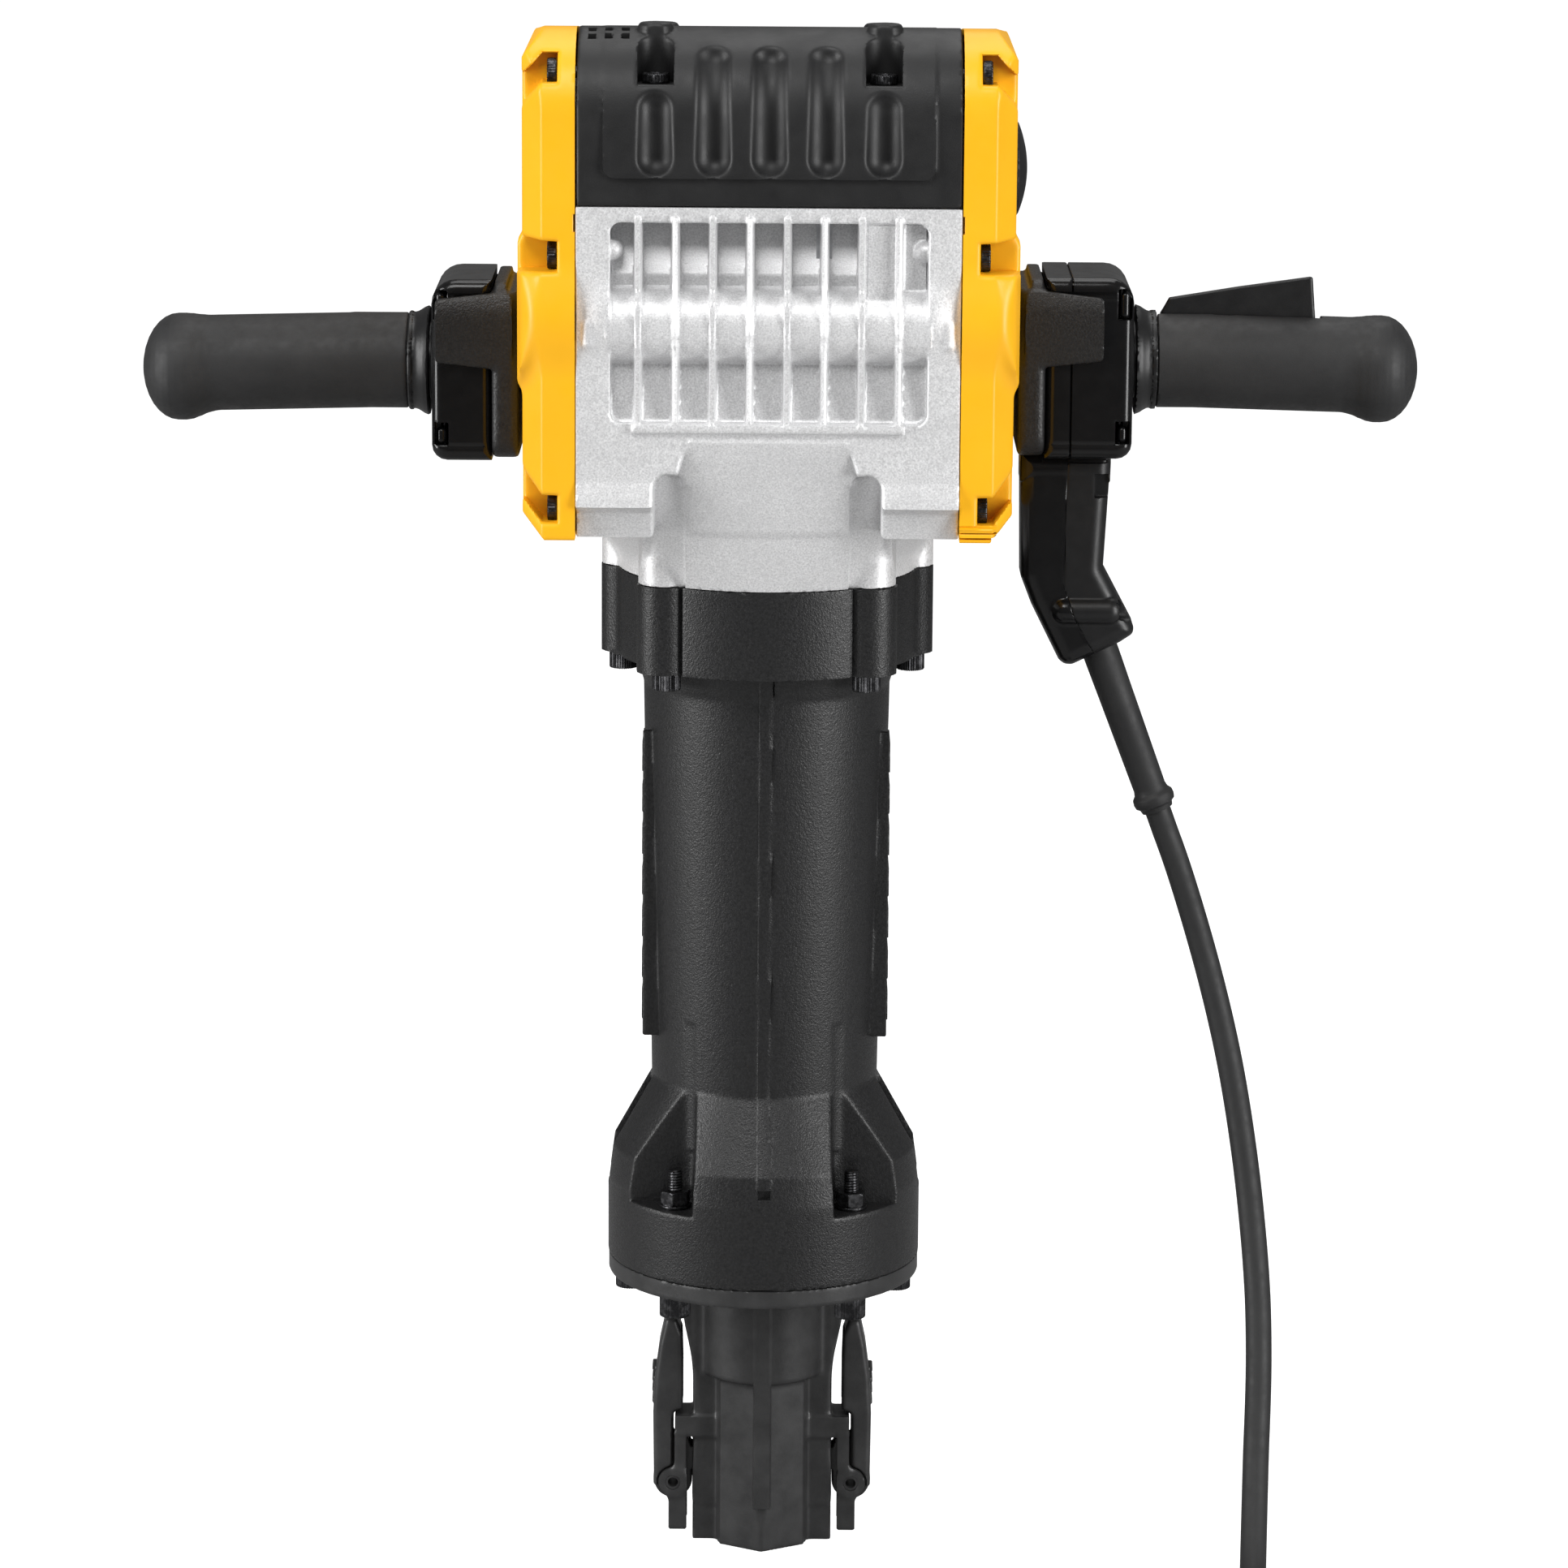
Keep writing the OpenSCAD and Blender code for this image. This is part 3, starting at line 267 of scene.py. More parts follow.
def boot_look():
    """Satin black moulding of the boots, the trigger and the cord arm."""
    look = Look("satin_plastic", (0.008, 0.008, 0.0084), 0.36, 0.0, Specular_IOR_Level=0.4)
    look.roughness(look.noise(9.0, 6.0), 0.3, 0.7, 0.33, 0.44)
    look.bump((look.noise(0.7, 2.0), 0.03))
    return look.material


def fastener_look():
    """Black oxide on screws and nuts."""
    look = Look("black_oxide", (0.035, 0.035, 0.037), 0.3, 0.9)
    wear = look.noise(3.0, 6.0)
    look.shade(wear, 0.45, 0.8, (0.03, 0.03, 0.032), (0.12, 0.12, 0.125))
    look.roughness(wear, 0.3, 0.7, 0.24, 0.4)
    return look.material


def rubber_look(name, tone, low, high):
    """Matt black rubber."""
    look = Look(name, (tone, tone, tone * 1.03), high, 0.0, Specular_IOR_Level=0.42)
    look.shade(look.noise(30.0), 0.3, 0.7, (tone, tone, tone * 1.04), (tone * 1.6, tone * 1.6, tone * 1.63))
    look.roughness(look.noise(6.0, 5.0), 0.3, 0.7, low, high)
    look.bump((look.noise(0.6, 2.0), 0.05))
    return look.material


def metal_look(name, dark, light, low, high):
    """Machined metal with faint streaks."""
    look = Look(name, light, high, 1.0)
    streaks = look.noise(5.0, 5.0, stretch=(0.2, 1.0, 1.0))
    look.shade(streaks, 0.3, 0.7, dark, light)
    look.roughness(streaks, 0.3, 0.7, low, high)
    return look.material


# Each look's slot and material. A slot's own look is the first one that names it.
LOOKS = {
    "cast": ("cast_aluminium", cast_look()),
    "moulded": ("moulded_black", moulded_look()),
    "yellow": ("yellow_shell", yellow_look()),
    "casting": ("black_casting", black_casting_look()),
    "black_steel": ("black_steel", black_steel_look()),
    "gloss": ("housing_plastic", gloss_look()),
    "boot": ("housing_plastic", boot_look()),
    "fastener": ("black_steel", fastener_look()),
    "rubber": ("grip_rubber", rubber_look("grip_rubber", 0.014, 0.5, 0.68)),
    "cord": ("cord_rubber", rubber_look("cord_rubber", 0.011, 0.52, 0.66)),
    "steel": ("steel", metal_look("steel", (0.42, 0.43, 0.45), (0.62, 0.63, 0.65), 0.22, 0.4)),
    "inner": ("inner_aluminium",
              metal_look("inner_aluminium", (0.55, 0.56, 0.58), (0.75, 0.76, 0.78), 0.3, 0.5)),
    "copper": ("copper_part", metal_look("copper_part", (0.55, 0.25, 0.13), (0.75, 0.38, 0.2), 0.25, 0.45)),
    "brass": ("plug_brass", metal_look("plug_brass", (0.62, 0.48, 0.22), (0.78, 0.62, 0.32), 0.2, 0.35)),
}


# ---- Solids from distance fields ----
# A field takes an (n, 3) array of points in millimetres, and gives how far each lies outside its solid.

def flat_distance(u, v, outline):
    """Signed distance in a plane to a closed outline."""
    nearest = np.full(u.shape, 1e12, dtype=u.dtype)
    inside = np.zeros(u.shape, dtype=bool)
    for (ax, ay), (bx, by) in zip(outline, outline[-1:] + outline[:-1]):
        ex, ey = bx - ax, by - ay
        wx, wy = u - ax, v - ay
        t = np.clip((wx * ex + wy * ey) / (ex * ex + ey * ey), 0, 1)
        nearest = np.minimum(nearest, (wx - ex * t) ** 2 + (wy - ey * t) ** 2)
        inside ^= ((ay > v) != (by > v)) & ((ex * wy > ey * wx) == (by > ay))
    return np.where(inside, -1, 1) * np.sqrt(nearest)


def corner(a, b, r=0.0):
    """Two distances meet in an edge, rounded to radius r."""
    a, b = a + r, b + r
    return np.hypot(np.maximum(a, 0), np.maximum(b, 0)) + np.minimum(np.maximum(a, b), 0) - r


def block(low, high, r=0.0):
    low, high = np.array(low, dtype=float), np.array(high, dtype=float)
    centre, half = (low + high) / 2, (high - low) / 2 - r

    def field(p):
        q = np.abs(p - centre) - half
        return np.linalg.norm(np.maximum(q, 0), axis=1) + np.minimum(q.max(axis=1), 0) - r
    return field


def others(axis):
    """The two axes that an outline across this axis is given in."""
    return [i for i in (0, 1, 2) if i != axis]


def prism(axis, start, end, outline, r=0.0):
    i, j = others(axis)

    def field(p):
        flat = flat_distance(p[:, i], p[:, j], outline)
        return corner(flat, np.abs(p[:, axis] - (start + end) / 2) - (end - start) / 2, r)
    return field


def rod(axis, start, end, centre, radius, r=0.0):
    i, j = others(axis)

    def field(p):
        flat = np.hypot(p[:, i] - centre[0], p[:, j] - centre[1]) - radius
        return corner(flat, np.abs(p[:, axis] - (start + end) / 2) - (end - start) / 2, r)
    return field


def turned(axis, outline, centre=(0, 0)):
    """A turned solid: outline points are (radius, place along the axis)."""
    i, j = others(axis)
    return lambda p: flat_distance(np.hypot(p[:, i] - centre[0], p[:, j] - centre[1]), p[:, axis], outline)


def capsule(a, b, ra, rb=None):
    """A round bar from a to b, whose radius goes from ra to rb."""
    a, b = np.array(a, dtype=float), np.array(b, dtype=float)
    rb = ra if rb is None else rb
    along = b - a

    def field(p):
        t = np.clip((p - a) @ along / (along @ along), 0, 1)
        return np.linalg.norm(p - a - t[:, None] * along, axis=1) - (ra + (rb - ra) * t)
    return field


def smooth_min(a, b, k):
    if k == 0:
        return np.minimum(a, b)
    h = np.maximum(k - np.abs(a - b), 0) / k
    return np.minimum(a, b) - h * h * k / 4


def fuse(k, *fields):
    """One solid of several, with fillets about k wide."""
    def field(p):
        d = fields[0](p)
        for f in fields[1:]:
            d = smooth_min(d, f(p), k)
        return d
    return field


def carve(k, body, *tools):
    """Body without the tools, with edges rounded about k wide."""
    def field(p):
        d = body(p)
        for f in tools:
            d = -smooth_min(-d, f(p), k)
        return d
    return field


def both(k, *fields):
    """What lies in every one of the fields."""
    def field(p):
        d = fields[0](p)
        for f in fields[1:]:
            d = -smooth_min(-d, -f(p), k)
        return d
    return field


def above(axis, place):
    return lambda p: place - p[:, axis]


def below(axis, place):
    return lambda p: p[:, axis] - place


def within(axis, limit):
    """Everything nearer than this to the middle plane across an axis."""
    return lambda p: np.abs(p[:, axis]) - limit


def folded(field, axes):
    """The same on both sides of the origin, along each of the axes."""
    def wrapped(p):
        q = p.copy()
        for axis in axes:
            q[:, axis] = np.abs(q[:, axis])
        return field(q)
    return wrapped


def shifted(field, offset):
    offset = np.array(offset, dtype=float)
    return lambda p: field(p - offset)


def offset(field, amount):
    return lambda p: field(p) - amount


def arc(centre, radius, start, end, steps=8):
    angles = np.radians(np.linspace(start, end, steps + 1))
    return [(centre[0] + radius * math.cos(a), centre[1] + radius * math.sin(a)) for a in angles]


BLOCK = 8               # cells along a block
HALF_DIAGONAL = 0.87    # of a block, in its sides
SPARE = 1.2             # fields with fillets are not quite distances
MARGIN = 2.37           # cells outside the box, uneven so that flat faces miss the grid's planes
KEY_STEP = 100003       # makes one number of a cell's three
POINTS_AT_ONCE = 300000
BLOCKS_AT_ONCE = 400
GRADIENT_STEP = 0.02
PULL_TO_MEAN = 0.06     # holds a point near the middle of its crossings where the surface is flat
FARTHEST_MOVE = 0.6     # of a point from that middle, in cells
SMOOTH_UP_TO = 38       # degrees between two faces that still look like one


def sampled(field, points):
    return np.concatenate([field(points[i:i + POINTS_AT_ONCE])
                           for i in range(0, len(points), POINTS_AT_ONCE)])


def near_blocks(field, low, count, cell):
    """Corners, in cells, of the blocks of cells that the surface passes through."""
    blocks = -(-count // BLOCK)
    corners = np.stack(np.meshgrid(*[np.arange(n) for n in blocks], indexing="ij"), -1).reshape(-1, 3)
    corners = corners * BLOCK
    middle = low + (corners + BLOCK / 2) * cell
    reach = BLOCK * cell * HALF_DIAGONAL * SPARE + cell
    return corners[np.abs(sampled(field, middle)) < reach]


def crossings(field, corners, low, cell):
    """Grid edges that cross the surface: their start, direction, place, and which way is out."""
    steps = np.arange(BLOCK + 1)
    inner = np.stack(np.meshgrid(steps, steps, steps, indexing="ij"), -1)
    found = []
    for i in range(0, len(corners), BLOCKS_AT_ONCE):
        grid = corners[i:i + BLOCKS_AT_ONCE, None, None, None, :] + inner
        values = sampled(field, low + grid.reshape(-1, 3) * cell).reshape(grid.shape[:-1])
        for axis in range(3):
            starts = [slice(None)] + [slice(0, BLOCK)] * 3
            ends = list(starts)
            ends[axis + 1] = slice(1, BLOCK + 1)
            a, b = values[tuple(starts)], values[tuple(ends)]
            hit = (a < 0) != (b < 0)
            start = grid[tuple(starts)][hit]
            a, b = a[hit], b[hit]
            place = low + start * cell
            place[:, axis] += cell * a / (a - b)
            found.append((start, np.full(len(start), axis), place, a < 0))
    return [np.concatenate(part) for part in zip(*found)]


def normals_at(field, points):
    gradient = np.empty_like(points)
    for axis in range(3):
        step = np.zeros(3)
        step[axis] = GRADIENT_STEP
        gradient[:, axis] = sampled(field, points + step) - sampled(field, points - step)
    return gradient / np.maximum(np.linalg.norm(gradient, axis=1), 1e-9)[:, None]


def field_mesh(name, field, low, high, cell):
    """Dual contouring: one point per cell, put where the surface's tangent planes meet."""
    cell *= 1.0
    low = np.array(low, dtype=float) - MARGIN * cell
    count = np.ceil((np.array(high) + 2 * cell - low) / cell).astype(int)
    start, axis, place, out = crossings(field, near_blocks(field, low, count, cell), low, cell)
    normal = normals_at(field, place)
    u, v = (axis + 1) % 3, (axis + 2) % 3
    unit = np.eye(3, dtype=int)
    around = np.stack([start - unit[u] - unit[v], start - unit[v], start, start - unit[u]], 1)
    keys = (around[..., 0] * KEY_STEP + around[..., 1]) * KEY_STEP + around[..., 2]
    cells, which = np.unique(keys.reshape(-1), return_inverse=True)
    which = which.reshape(-1)
    per_cell = np.repeat(np.arange(len(place)), 4)
    n, p = normal[per_cell], place[per_cell]
    total = np.bincount(which, minlength=len(cells)).astype(float)
    mean = np.stack([np.bincount(which, p[:, i], len(cells)) for i in range(3)], 1) / total[:, None]
    distance = np.einsum("ij,ij->i", n, p - mean[which])
    squares = np.stack([np.bincount(which, n[:, i] * n[:, j], len(cells))
                        for i in range(3) for j in range(3)], 1).reshape(-1, 3, 3)
    right = np.stack([np.bincount(which, n[:, i] * distance, len(cells)) for i in range(3)], 1)
    squares += np.eye(3) * PULL_TO_MEAN
    move = np.linalg.solve(squares, right[..., None])[..., 0]
    points = mean + np.clip(move, -FARTHEST_MOVE * cell, FARTHEST_MOVE * cell)
    quads = which.reshape(-1, 4)
    quads = np.where(out[:, None], quads, quads[:, ::-1])
    return mesh_object(name, points * MM, quads)


def mesh_object(name, points, faces):
    """An object from arrays of points and of faces with equally many corners."""
    faces = np.asarray(faces)
    mesh = bpy.data.meshes.new(name)
    mesh.vertices.add(len(points))
    mesh.vertices.foreach_set("co", np.ascontiguousarray(points, dtype=np.float32).ravel())
    mesh.loops.add(faces.size)
    mesh.loops.foreach_set("vertex_index", np.ascontiguousarray(faces, dtype=np.int32).ravel())
    mesh.polygons.add(len(faces))
    mesh.polygons.foreach_set("loop_start", np.arange(0, faces.size, faces.shape[1], dtype=np.int32))
    mesh.polygons.foreach_set("loop_total", np.full(len(faces), faces.shape[1], dtype=np.int32))
    mesh.update(calc_edges=True)
    mesh.validate()
    mesh.shade_smooth()
    mesh.set_sharp_from_angle(angle=math.radians(SMOOTH_UP_TO))
    return add_object(name, mesh)


def finish_piece(piece, look, body, *nodes):
    """Gives a piece its look's material and its body, and hides the CAD nodes that it stands for."""
    slot, material = LOOKS[look]
    piece.data.materials.append(material)
    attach(piece, body)
    if nodes:
        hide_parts(*nodes)
    return piece


def make_piece(name, field, low, high, cell, look, body, *nodes):
    return finish_piece(field_mesh(name, field, low, high, cell), look, body, *nodes)


# ---- Housing ----

HALF_DEPTH = 113.0
CORE_X = 97.4
BEND = 42.0
TOP_Z, TOP_FALL = 827.0, 14.0
BEND_Y, BEND_Z = HALF_DEPTH - BEND, TOP_Z - BEND
SEAM_Z = 740.0


def levelled(p):
    """Heights, moved up towards the back so that the housing's falling top is level."""
    return p[:, 2] + TOP_FALL * np.clip((p[:, 1] + BEND_Y) / (2 * BEND_Y), 0, 1)


def side_profile(p):
    """Housing seen from the side: flat front and back, and a top that falls to the back between two bends."""
    y = np.abs(p[:, 1]) - BEND_Y
    z = levelled(p) - BEND_Z
    return np.hypot(np.maximum(y, 0), np.maximum(z, 0)) + np.minimum(np.maximum(y, z), 0) - BEND


def top_edges(field):
    """By the top's front edge on both sides, and again by its lower back edge."""
    def wrapped(p):
        q = np.stack([np.abs(p[:, 0]), np.abs(p[:, 1]), p[:, 2] + TOP_FALL * (p[:, 1] > 0)], 1)
        return field(q)
    return wrapped


def along_front(p):
    """Length along the front and over the bend, and height over the bend's centre line."""
    y, z = np.abs(p[:, 1]) - BEND_Y, levelled(p) - BEND_Z
    bent = z > 0
    height = np.where(bent, np.hypot(y, z), y)
    length = np.where(bent, BEND * np.arctan2(z, np.maximum(y, 0.01)), z)
    return length, height


def flute(x, low, high):
    """A long round-ended hollow that follows the front over the bend."""
    radius, lift = 9.5, 5.0
    half = (high - low) / 2 - 8.0

    def field(p):
        length, height = along_front(p)
        beyond = np.maximum(np.abs(length - (low + high) / 2) - half, 0)
        return np.sqrt((p[:, 0] - x) ** 2 + (height - BEND - lift) ** 2 + beyond ** 2) - radius
    return field


PANEL_X, PANEL_LOW, PANEL_HIGH = 83.6, 754.5, 812.0


def cover_panel(p):
    """Panel that stands proud at its lower lip and fades out towards the top."""
    rise = 2.6 * np.clip((PANEL_HIGH - p[:, 2]) / (PANEL_HIGH - PANEL_LOW), 0, 1) ** 1.3
    rim = block((-PANEL_X, -200, PANEL_LOW), (PANEL_X, 200, 900), 6.0)(p)
    return np.maximum(side_profile(p) - rise, rim)


SCREW_X, SCREW_Y, SCREW_Z = 57.4, 98.0, 801.0


def motor_cover_field():
    body = both(1.6, side_profile, above(2, SEAM_Z + 0.4), lambda p: np.abs(p[:, 0]) - CORE_X + 0.5)
    body = fuse(0.8, body, cover_panel)
    bump = rod(2, 790, 829.8, (58, 80), 8.9, 2.5)
    body = fuse(1.5, body, top_edges(bump))
    length_top = 39.0
    flutes = [flute(x, -28.2, length_top) for x in (-28.2, 0.1, 28.4)]
    flutes += [flute(x, -28.2, 12.5) for x in (-57.5, 57.6)]
    body = carve(1.8, body, *flutes)
    pocket = fuse(0.5, rod(2, SCREW_Z, 840, (SCREW_X, SCREW_Y - 1), 9.1),
                  block((SCREW_X - 9.1, SCREW_Y - 1, SCREW_Z), (SCREW_X + 9.1, 130, 840)))
    body = carve(1.2, body, top_edges(pocket))
    vent = block((-2.0, -2.6, 795), (2.0, 2.6, 830), 0.4)
    vents = [shifted(vent, (x, y, 0)) for x in (-89.8, -81.4, -73.0) for y in (-80, -88, 80, 88)]
    body = carve(0.4, body, *vents)
    inside = both(0, offset(side_profile, -4.5), above(2, SEAM_Z - 4))
    posts = lambda p: 12.5 - np.hypot(np.abs(p[:, 0]) - SCREW_X, np.abs(p[:, 1]) - SCREW_Y)
    flute_backs = offset(fuse(0, *flutes), 4.0)
    room = carve(0, both(0, inside, posts), flute_backs)
    return carve(0, body, both(0, room, above(0, -120)))


FIN_X0, FIN_PITCH, FIN_LAST = -65.9, 18.83, 7
BULGE_Z, BULGE_Y = 684.0, 94.4


def gearcase_field():
    """Middle housing: a slab with a bay of fins over a round hump, and the neck below."""
    profile = [(0, 570), (104, 570), (109, 583.5), (112.2, 585.8), (116, 587.2), (115.2, 592), (113.4, 600),
               (113, 610), (113, SEAM_Z - 0.3), (0, SEAM_Z - 0.3)]
    core = both(1.2, lambda p: flat_distance(np.abs(p[:, 1]), p[:, 2], profile),
                within(0, CORE_X))
    bulge_rod = rod(0, -140, 140, (BULGE_Y, BULGE_Z), 22.4)
    core = fuse(8.0, core, both(14, bulge_rod, within(0, 91)))
    bay_floor = [(89, 740), (90, 732), (99.5, 709), (101.5, 704), (101.0, 698), (102.0, 663), (103.4, 660),
                 (108.4, 631), (108.4, 620), (140, 620), (140, 740)]
    bay = both(2.0, prism(0, -90, 90, bay_floor), block((-80, 60, 630), (80.5, 150, 732), 5.5))
    core = carve(1.6, core, bay)
    core = fuse(1.4, core, rod(0, -82, 82, (96.6, 679), 20.4))
    outer = fuse(6, below(1, 115.8), rod(0, -200, 200, (BULGE_Y, BULGE_Z), 23.8))

    def fins(p):
        x = p[:, 0] - FIN_X0
        x = np.abs(x - FIN_PITCH * np.clip(np.round(x / FIN_PITCH), 0, FIN_LAST))
        wide = x - 1.25 - 0.09 * np.clip(116 - p[:, 1], 0, 14)
        tall = np.maximum(p[:, 2] - 735.5, 627.0 - p[:, 2])
        return corner(corner(wide, tall, 1.2), np.maximum(outer(p), 100 - p[:, 1]), 1.0)
    rail = both(1.5, block((-69.0, 100, 625.3), (69.0, 130, 629.8), 1.2), outer)
    nub = capsule((78.8, 98, 717.5), (78.8, 105.5, 717.5), 5.2)
    core = fuse(1.3, core, fins, rail, folded(nub, (0,)))
    plate = fuse(0, block((49.8, 96, 691.5), (64.2, 111.4, 731.2), 0.8),
                 block((67.4, 96, 697), (79.5, 105.5, 731), 1.0))
    oval = capsule((90.8, 111.4, 671), (90.8, 111.4, 680), 3.7)
    core = fuse(1.5, core, plate, folded(oval, (0,)))
    middle = prism(1, 60, 140, [(-46, 520), (46, 520), (45.5, 603), (42.5, 613), (37, 620.8), (-37, 620.8),
                                (-42.5, 613), (-45.5, 603)])
    arch = [(40, 520), (58, 520)] + arc((50.5, 596), 7.5, 0, 180, 8) + [(40, 596)]
    arches = folded(prism(1, 60, 140, arch), (0,))
    core = carve(3.5, core, both(0, middle, lambda p: -neck_front(p, -0.3)))
    core = carve(3.0, core, both(0, arches, lambda p: -neck_front(p, 4.6)))
    return fuse(2.5, core, neck_field())


NECK_LOW, NECK_HIGH = 538.8, 621.0


def neck_front(p, back=0.0):
    """Leaning front of the neck: a round face at the collar that turns flat at the gearcase."""
    t = np.clip((p[:, 2] - NECK_LOW) / (NECK_HIGH - NECK_LOW), 0, 1)
    x = np.clip(np.abs(p[:, 0]), 0, 60)
    face = (1 - t) * np.sqrt(87.3 ** 2 - x ** 2) + t * 113.4
    return (p[:, 1] - face + back) * 0.94


def collar_plan(k=4.0):
    boss_front = rod(2, 400, 700, (53, 61), 13.6)
    boss_side = rod(2, 400, 700, (76, 0), 11.4)
    return folded(fuse(k, rod(2, 400, 700, (0, 0), 79.0), boss_front, boss_side), (0, 1))


def neck_field():
    def panel(p):
        x = np.abs(p[:, 0])
        wide = np.maximum(x - 42.0, x - 42.0 + 0.17 * (p[:, 2] - 606))
        tall = np.maximum(p[:, 2] - NECK_HIGH, NECK_LOW - p[:, 2])
        return corner(np.maximum(neck_front(p), wide), tall, 0.5)
    column = both(2, capsule((52, 58, 520), (50, 90, 590), 14.2), above(2, NECK_LOW),
                  lambda p: neck_front(p, 3.2))
    stem = both(1, collar_plan(), above(2, NECK_LOW), below(2, 576))
    spread = both(6, turned(2, [(0, 540), (74, 540), (98, 574), (0, 574)]), above(2, NECK_LOW),
                  within(0, 92))
    whole = fuse(3.0, stem, spread, folded(column, (0, 1)))
    whole = fuse(1.2, whole, folded(panel, (1,)))
    inside = rod(2, 500, 566, (0, 0), 54)
    return carve(0, whole, inside)


SIDE_X = 125.5
SEAT_X = 106.8
POCKET_TOP = [(SEAT_X, 801.5), (SEAT_X, 815.5), (114.6, 815.5), (140, 788), (140, 774), (114.6, 801.5)]
POCKET_MID = [(SEAT_X, 706.8), (SEAT_X, 722), (140, 723), (140, 706)]
POCKET_LOW = [(SEAT_X, 578.5), (SEAT_X, 592.5), (114.6, 592.5), (140, 620), (140, 606), (114.6, 578.5)]


def side_cover_field(louvred):
    plan = [(80, -113), (114.4, -113), (SIDE_X, -95), (SIDE_X, 95), (114.4, 113), (80, 113)]
    front = [(80, 569.5), (113.5, 569.5), (SIDE_X, 581.5), (SIDE_X, 813), (115, 827), (80, 827)]
    body = both(1.6, side_profile, prism(2, 500, 900, plan), prism(1, -200, 200, front))
    bulge = both(3, rod(0, 60, SIDE_X + 0.2, (BULGE_Y - 14, BULGE_Z - 1), 36.0),
                 lambda p: (p[:, 0] * 0.85 + np.abs(p[:, 1]) * 0.53 - 163.8))
    body = fuse(9.0, body, folded(bulge, (1,)))
    depth = 90.0
    top, middle, low = [prism(1, depth, 140, o, 0.0) for o in (POCKET_TOP, POCKET_MID, POCKET_LOW)]
    body = carve(2.6, body, top_edges(top), folded(middle, (1,)), folded(low, (1,)))
    notch = block((90, 106, 727), (98.6, 120, 736), 0.5)
    body = carve(0.5, body, folded(notch, (1,)))
    if louvred:
        for z in (571.4, 574.2, 577.0):
            body = carve(0.3, body, folded(block((97.5, 96, z), (116.8, 120, z + 1.2), 0.3), (1,)))
    socket = rod(0, 60, 140, SEAT_AT, 18.8)
    shell = carve(0.8, both(0, body, above(0, CORE_X + 0.35)), socket)
    hollow = both(0, offset(body, -3.4), below(0, SIDE_X - 3.0))
    return carve(0, shell, hollow)


def mirrored_mesh(piece, name):
    """A copy on the other side, left to right."""
    mesh = piece.data.copy()
    mesh.transform(Matrix.Scale(-1, 4, (1, 0, 0)))
    mesh.flip_normals()
    return add_object(name, mesh)


def mirrored(piece, name):
    """The piece itself moved to the other side."""
    copy = mirrored_mesh(piece, name)
    bpy.data.objects.remove(piece)
    return copy


def make_housing():
    make_piece("gearcase_casting", folded(gearcase_field(), (1,)), (-98, -121, 538), (98, 121, 741), 1.3,
               "cast", "root", "gearcase")
    make_piece("motor_cover_moulding", motor_cover_field(), (-98, -117, 739), (98, 117, 830), 1.25,
               "moulded", "root", "motor_cover")
    low, high = (97, -120, 568), (127, 120, 827)
    make_piece("right_cover_moulding", side_cover_field(True), low, high, 1.35,
               "yellow", "root", "right_side_cover")
    left = field_mesh("left_cover_base", side_cover_field(False), low, high, 1.35)
    finish_piece(mirrored(left, "left_cover_moulding"), "yellow", "root", "left_side_cover")


# ---- Helpers for outlines and copies ----

def eased(outline, r):
    """An outline whose corners are rounded to about radius r."""
    points = []
    count = len(outline)
    for i in range(count):
        before, at, after = (np.array(outline[(i + k) % count], dtype=float) for k in (-1, 0, 1))
        a, b = before - at, after - at
        la, lb = np.linalg.norm(a), np.linalg.norm(b)
        half = math.acos(np.clip(a @ b / la / lb, -1, 1)) / 2
        cut = min(r / max(math.tan(half), 0.01), 0.45 * la, 0.45 * lb)
        p, q = at + a / la * cut, at + b / lb * cut
        for t in (0, 0.33, 0.67, 1):
            points.append(tuple((1 - t) ** 2 * p + 2 * t * (1 - t) * at + t * t * q))
    return points


def placed(field, matrix):
    """A field made at the origin, moved to where a matrix puts it."""
    inverse = np.array(matrix.inverted())
    return lambda p: field(p @ inverse[:3, :3].T + inverse[:3, 3])


def pointing(place, direction, axis="Z"):
    turn = Vector(direction).to_track_quat(axis, "X" if axis != "X" else "Y")
    return Matrix.Translation(Vector(place)) @ turn.to_matrix().to_4x4()


def copies(name, sources, matrices):
    """One object of several objects' meshes, put at every matrix; the sources are removed."""
    meshes = []
    for source in sources:
        co = np.empty(len(source.data.vertices) * 3, dtype=np.float32)
        source.data.vertices.foreach_get("co", co)
        faces = np.array([list(f.vertices) for f in source.data.polygons])
        meshes.append((co.reshape(-1, 3) / MM, faces))
        bpy.data.objects.remove(source)
    points, quads, total = [], [], 0
    for matrix in matrices:
        m = np.array(matrix)
        flip = np.linalg.det(m[:3, :3]) < 0
        for co, faces in meshes:
            points.append(co @ m[:3, :3].T + m[:3, 3])
            quads.append((faces[:, ::-1] if flip else faces) + total)
            total += len(co)
    return mesh_object(name, np.concatenate(points) * MM, np.concatenate(quads))


SIDES = ((1, 1), (1, -1), (-1, 1), (-1, -1))


def moved(x, y, z):
    return Matrix.Translation((x, y, z))


def hexagon(radius, first=0):
    """An outline whose first corner is at this many degrees."""
    return [(radius * math.cos(a), radius * math.sin(a)) for a in np.radians(np.arange(first, first + 360, 60))]


# ---- Barrel ----

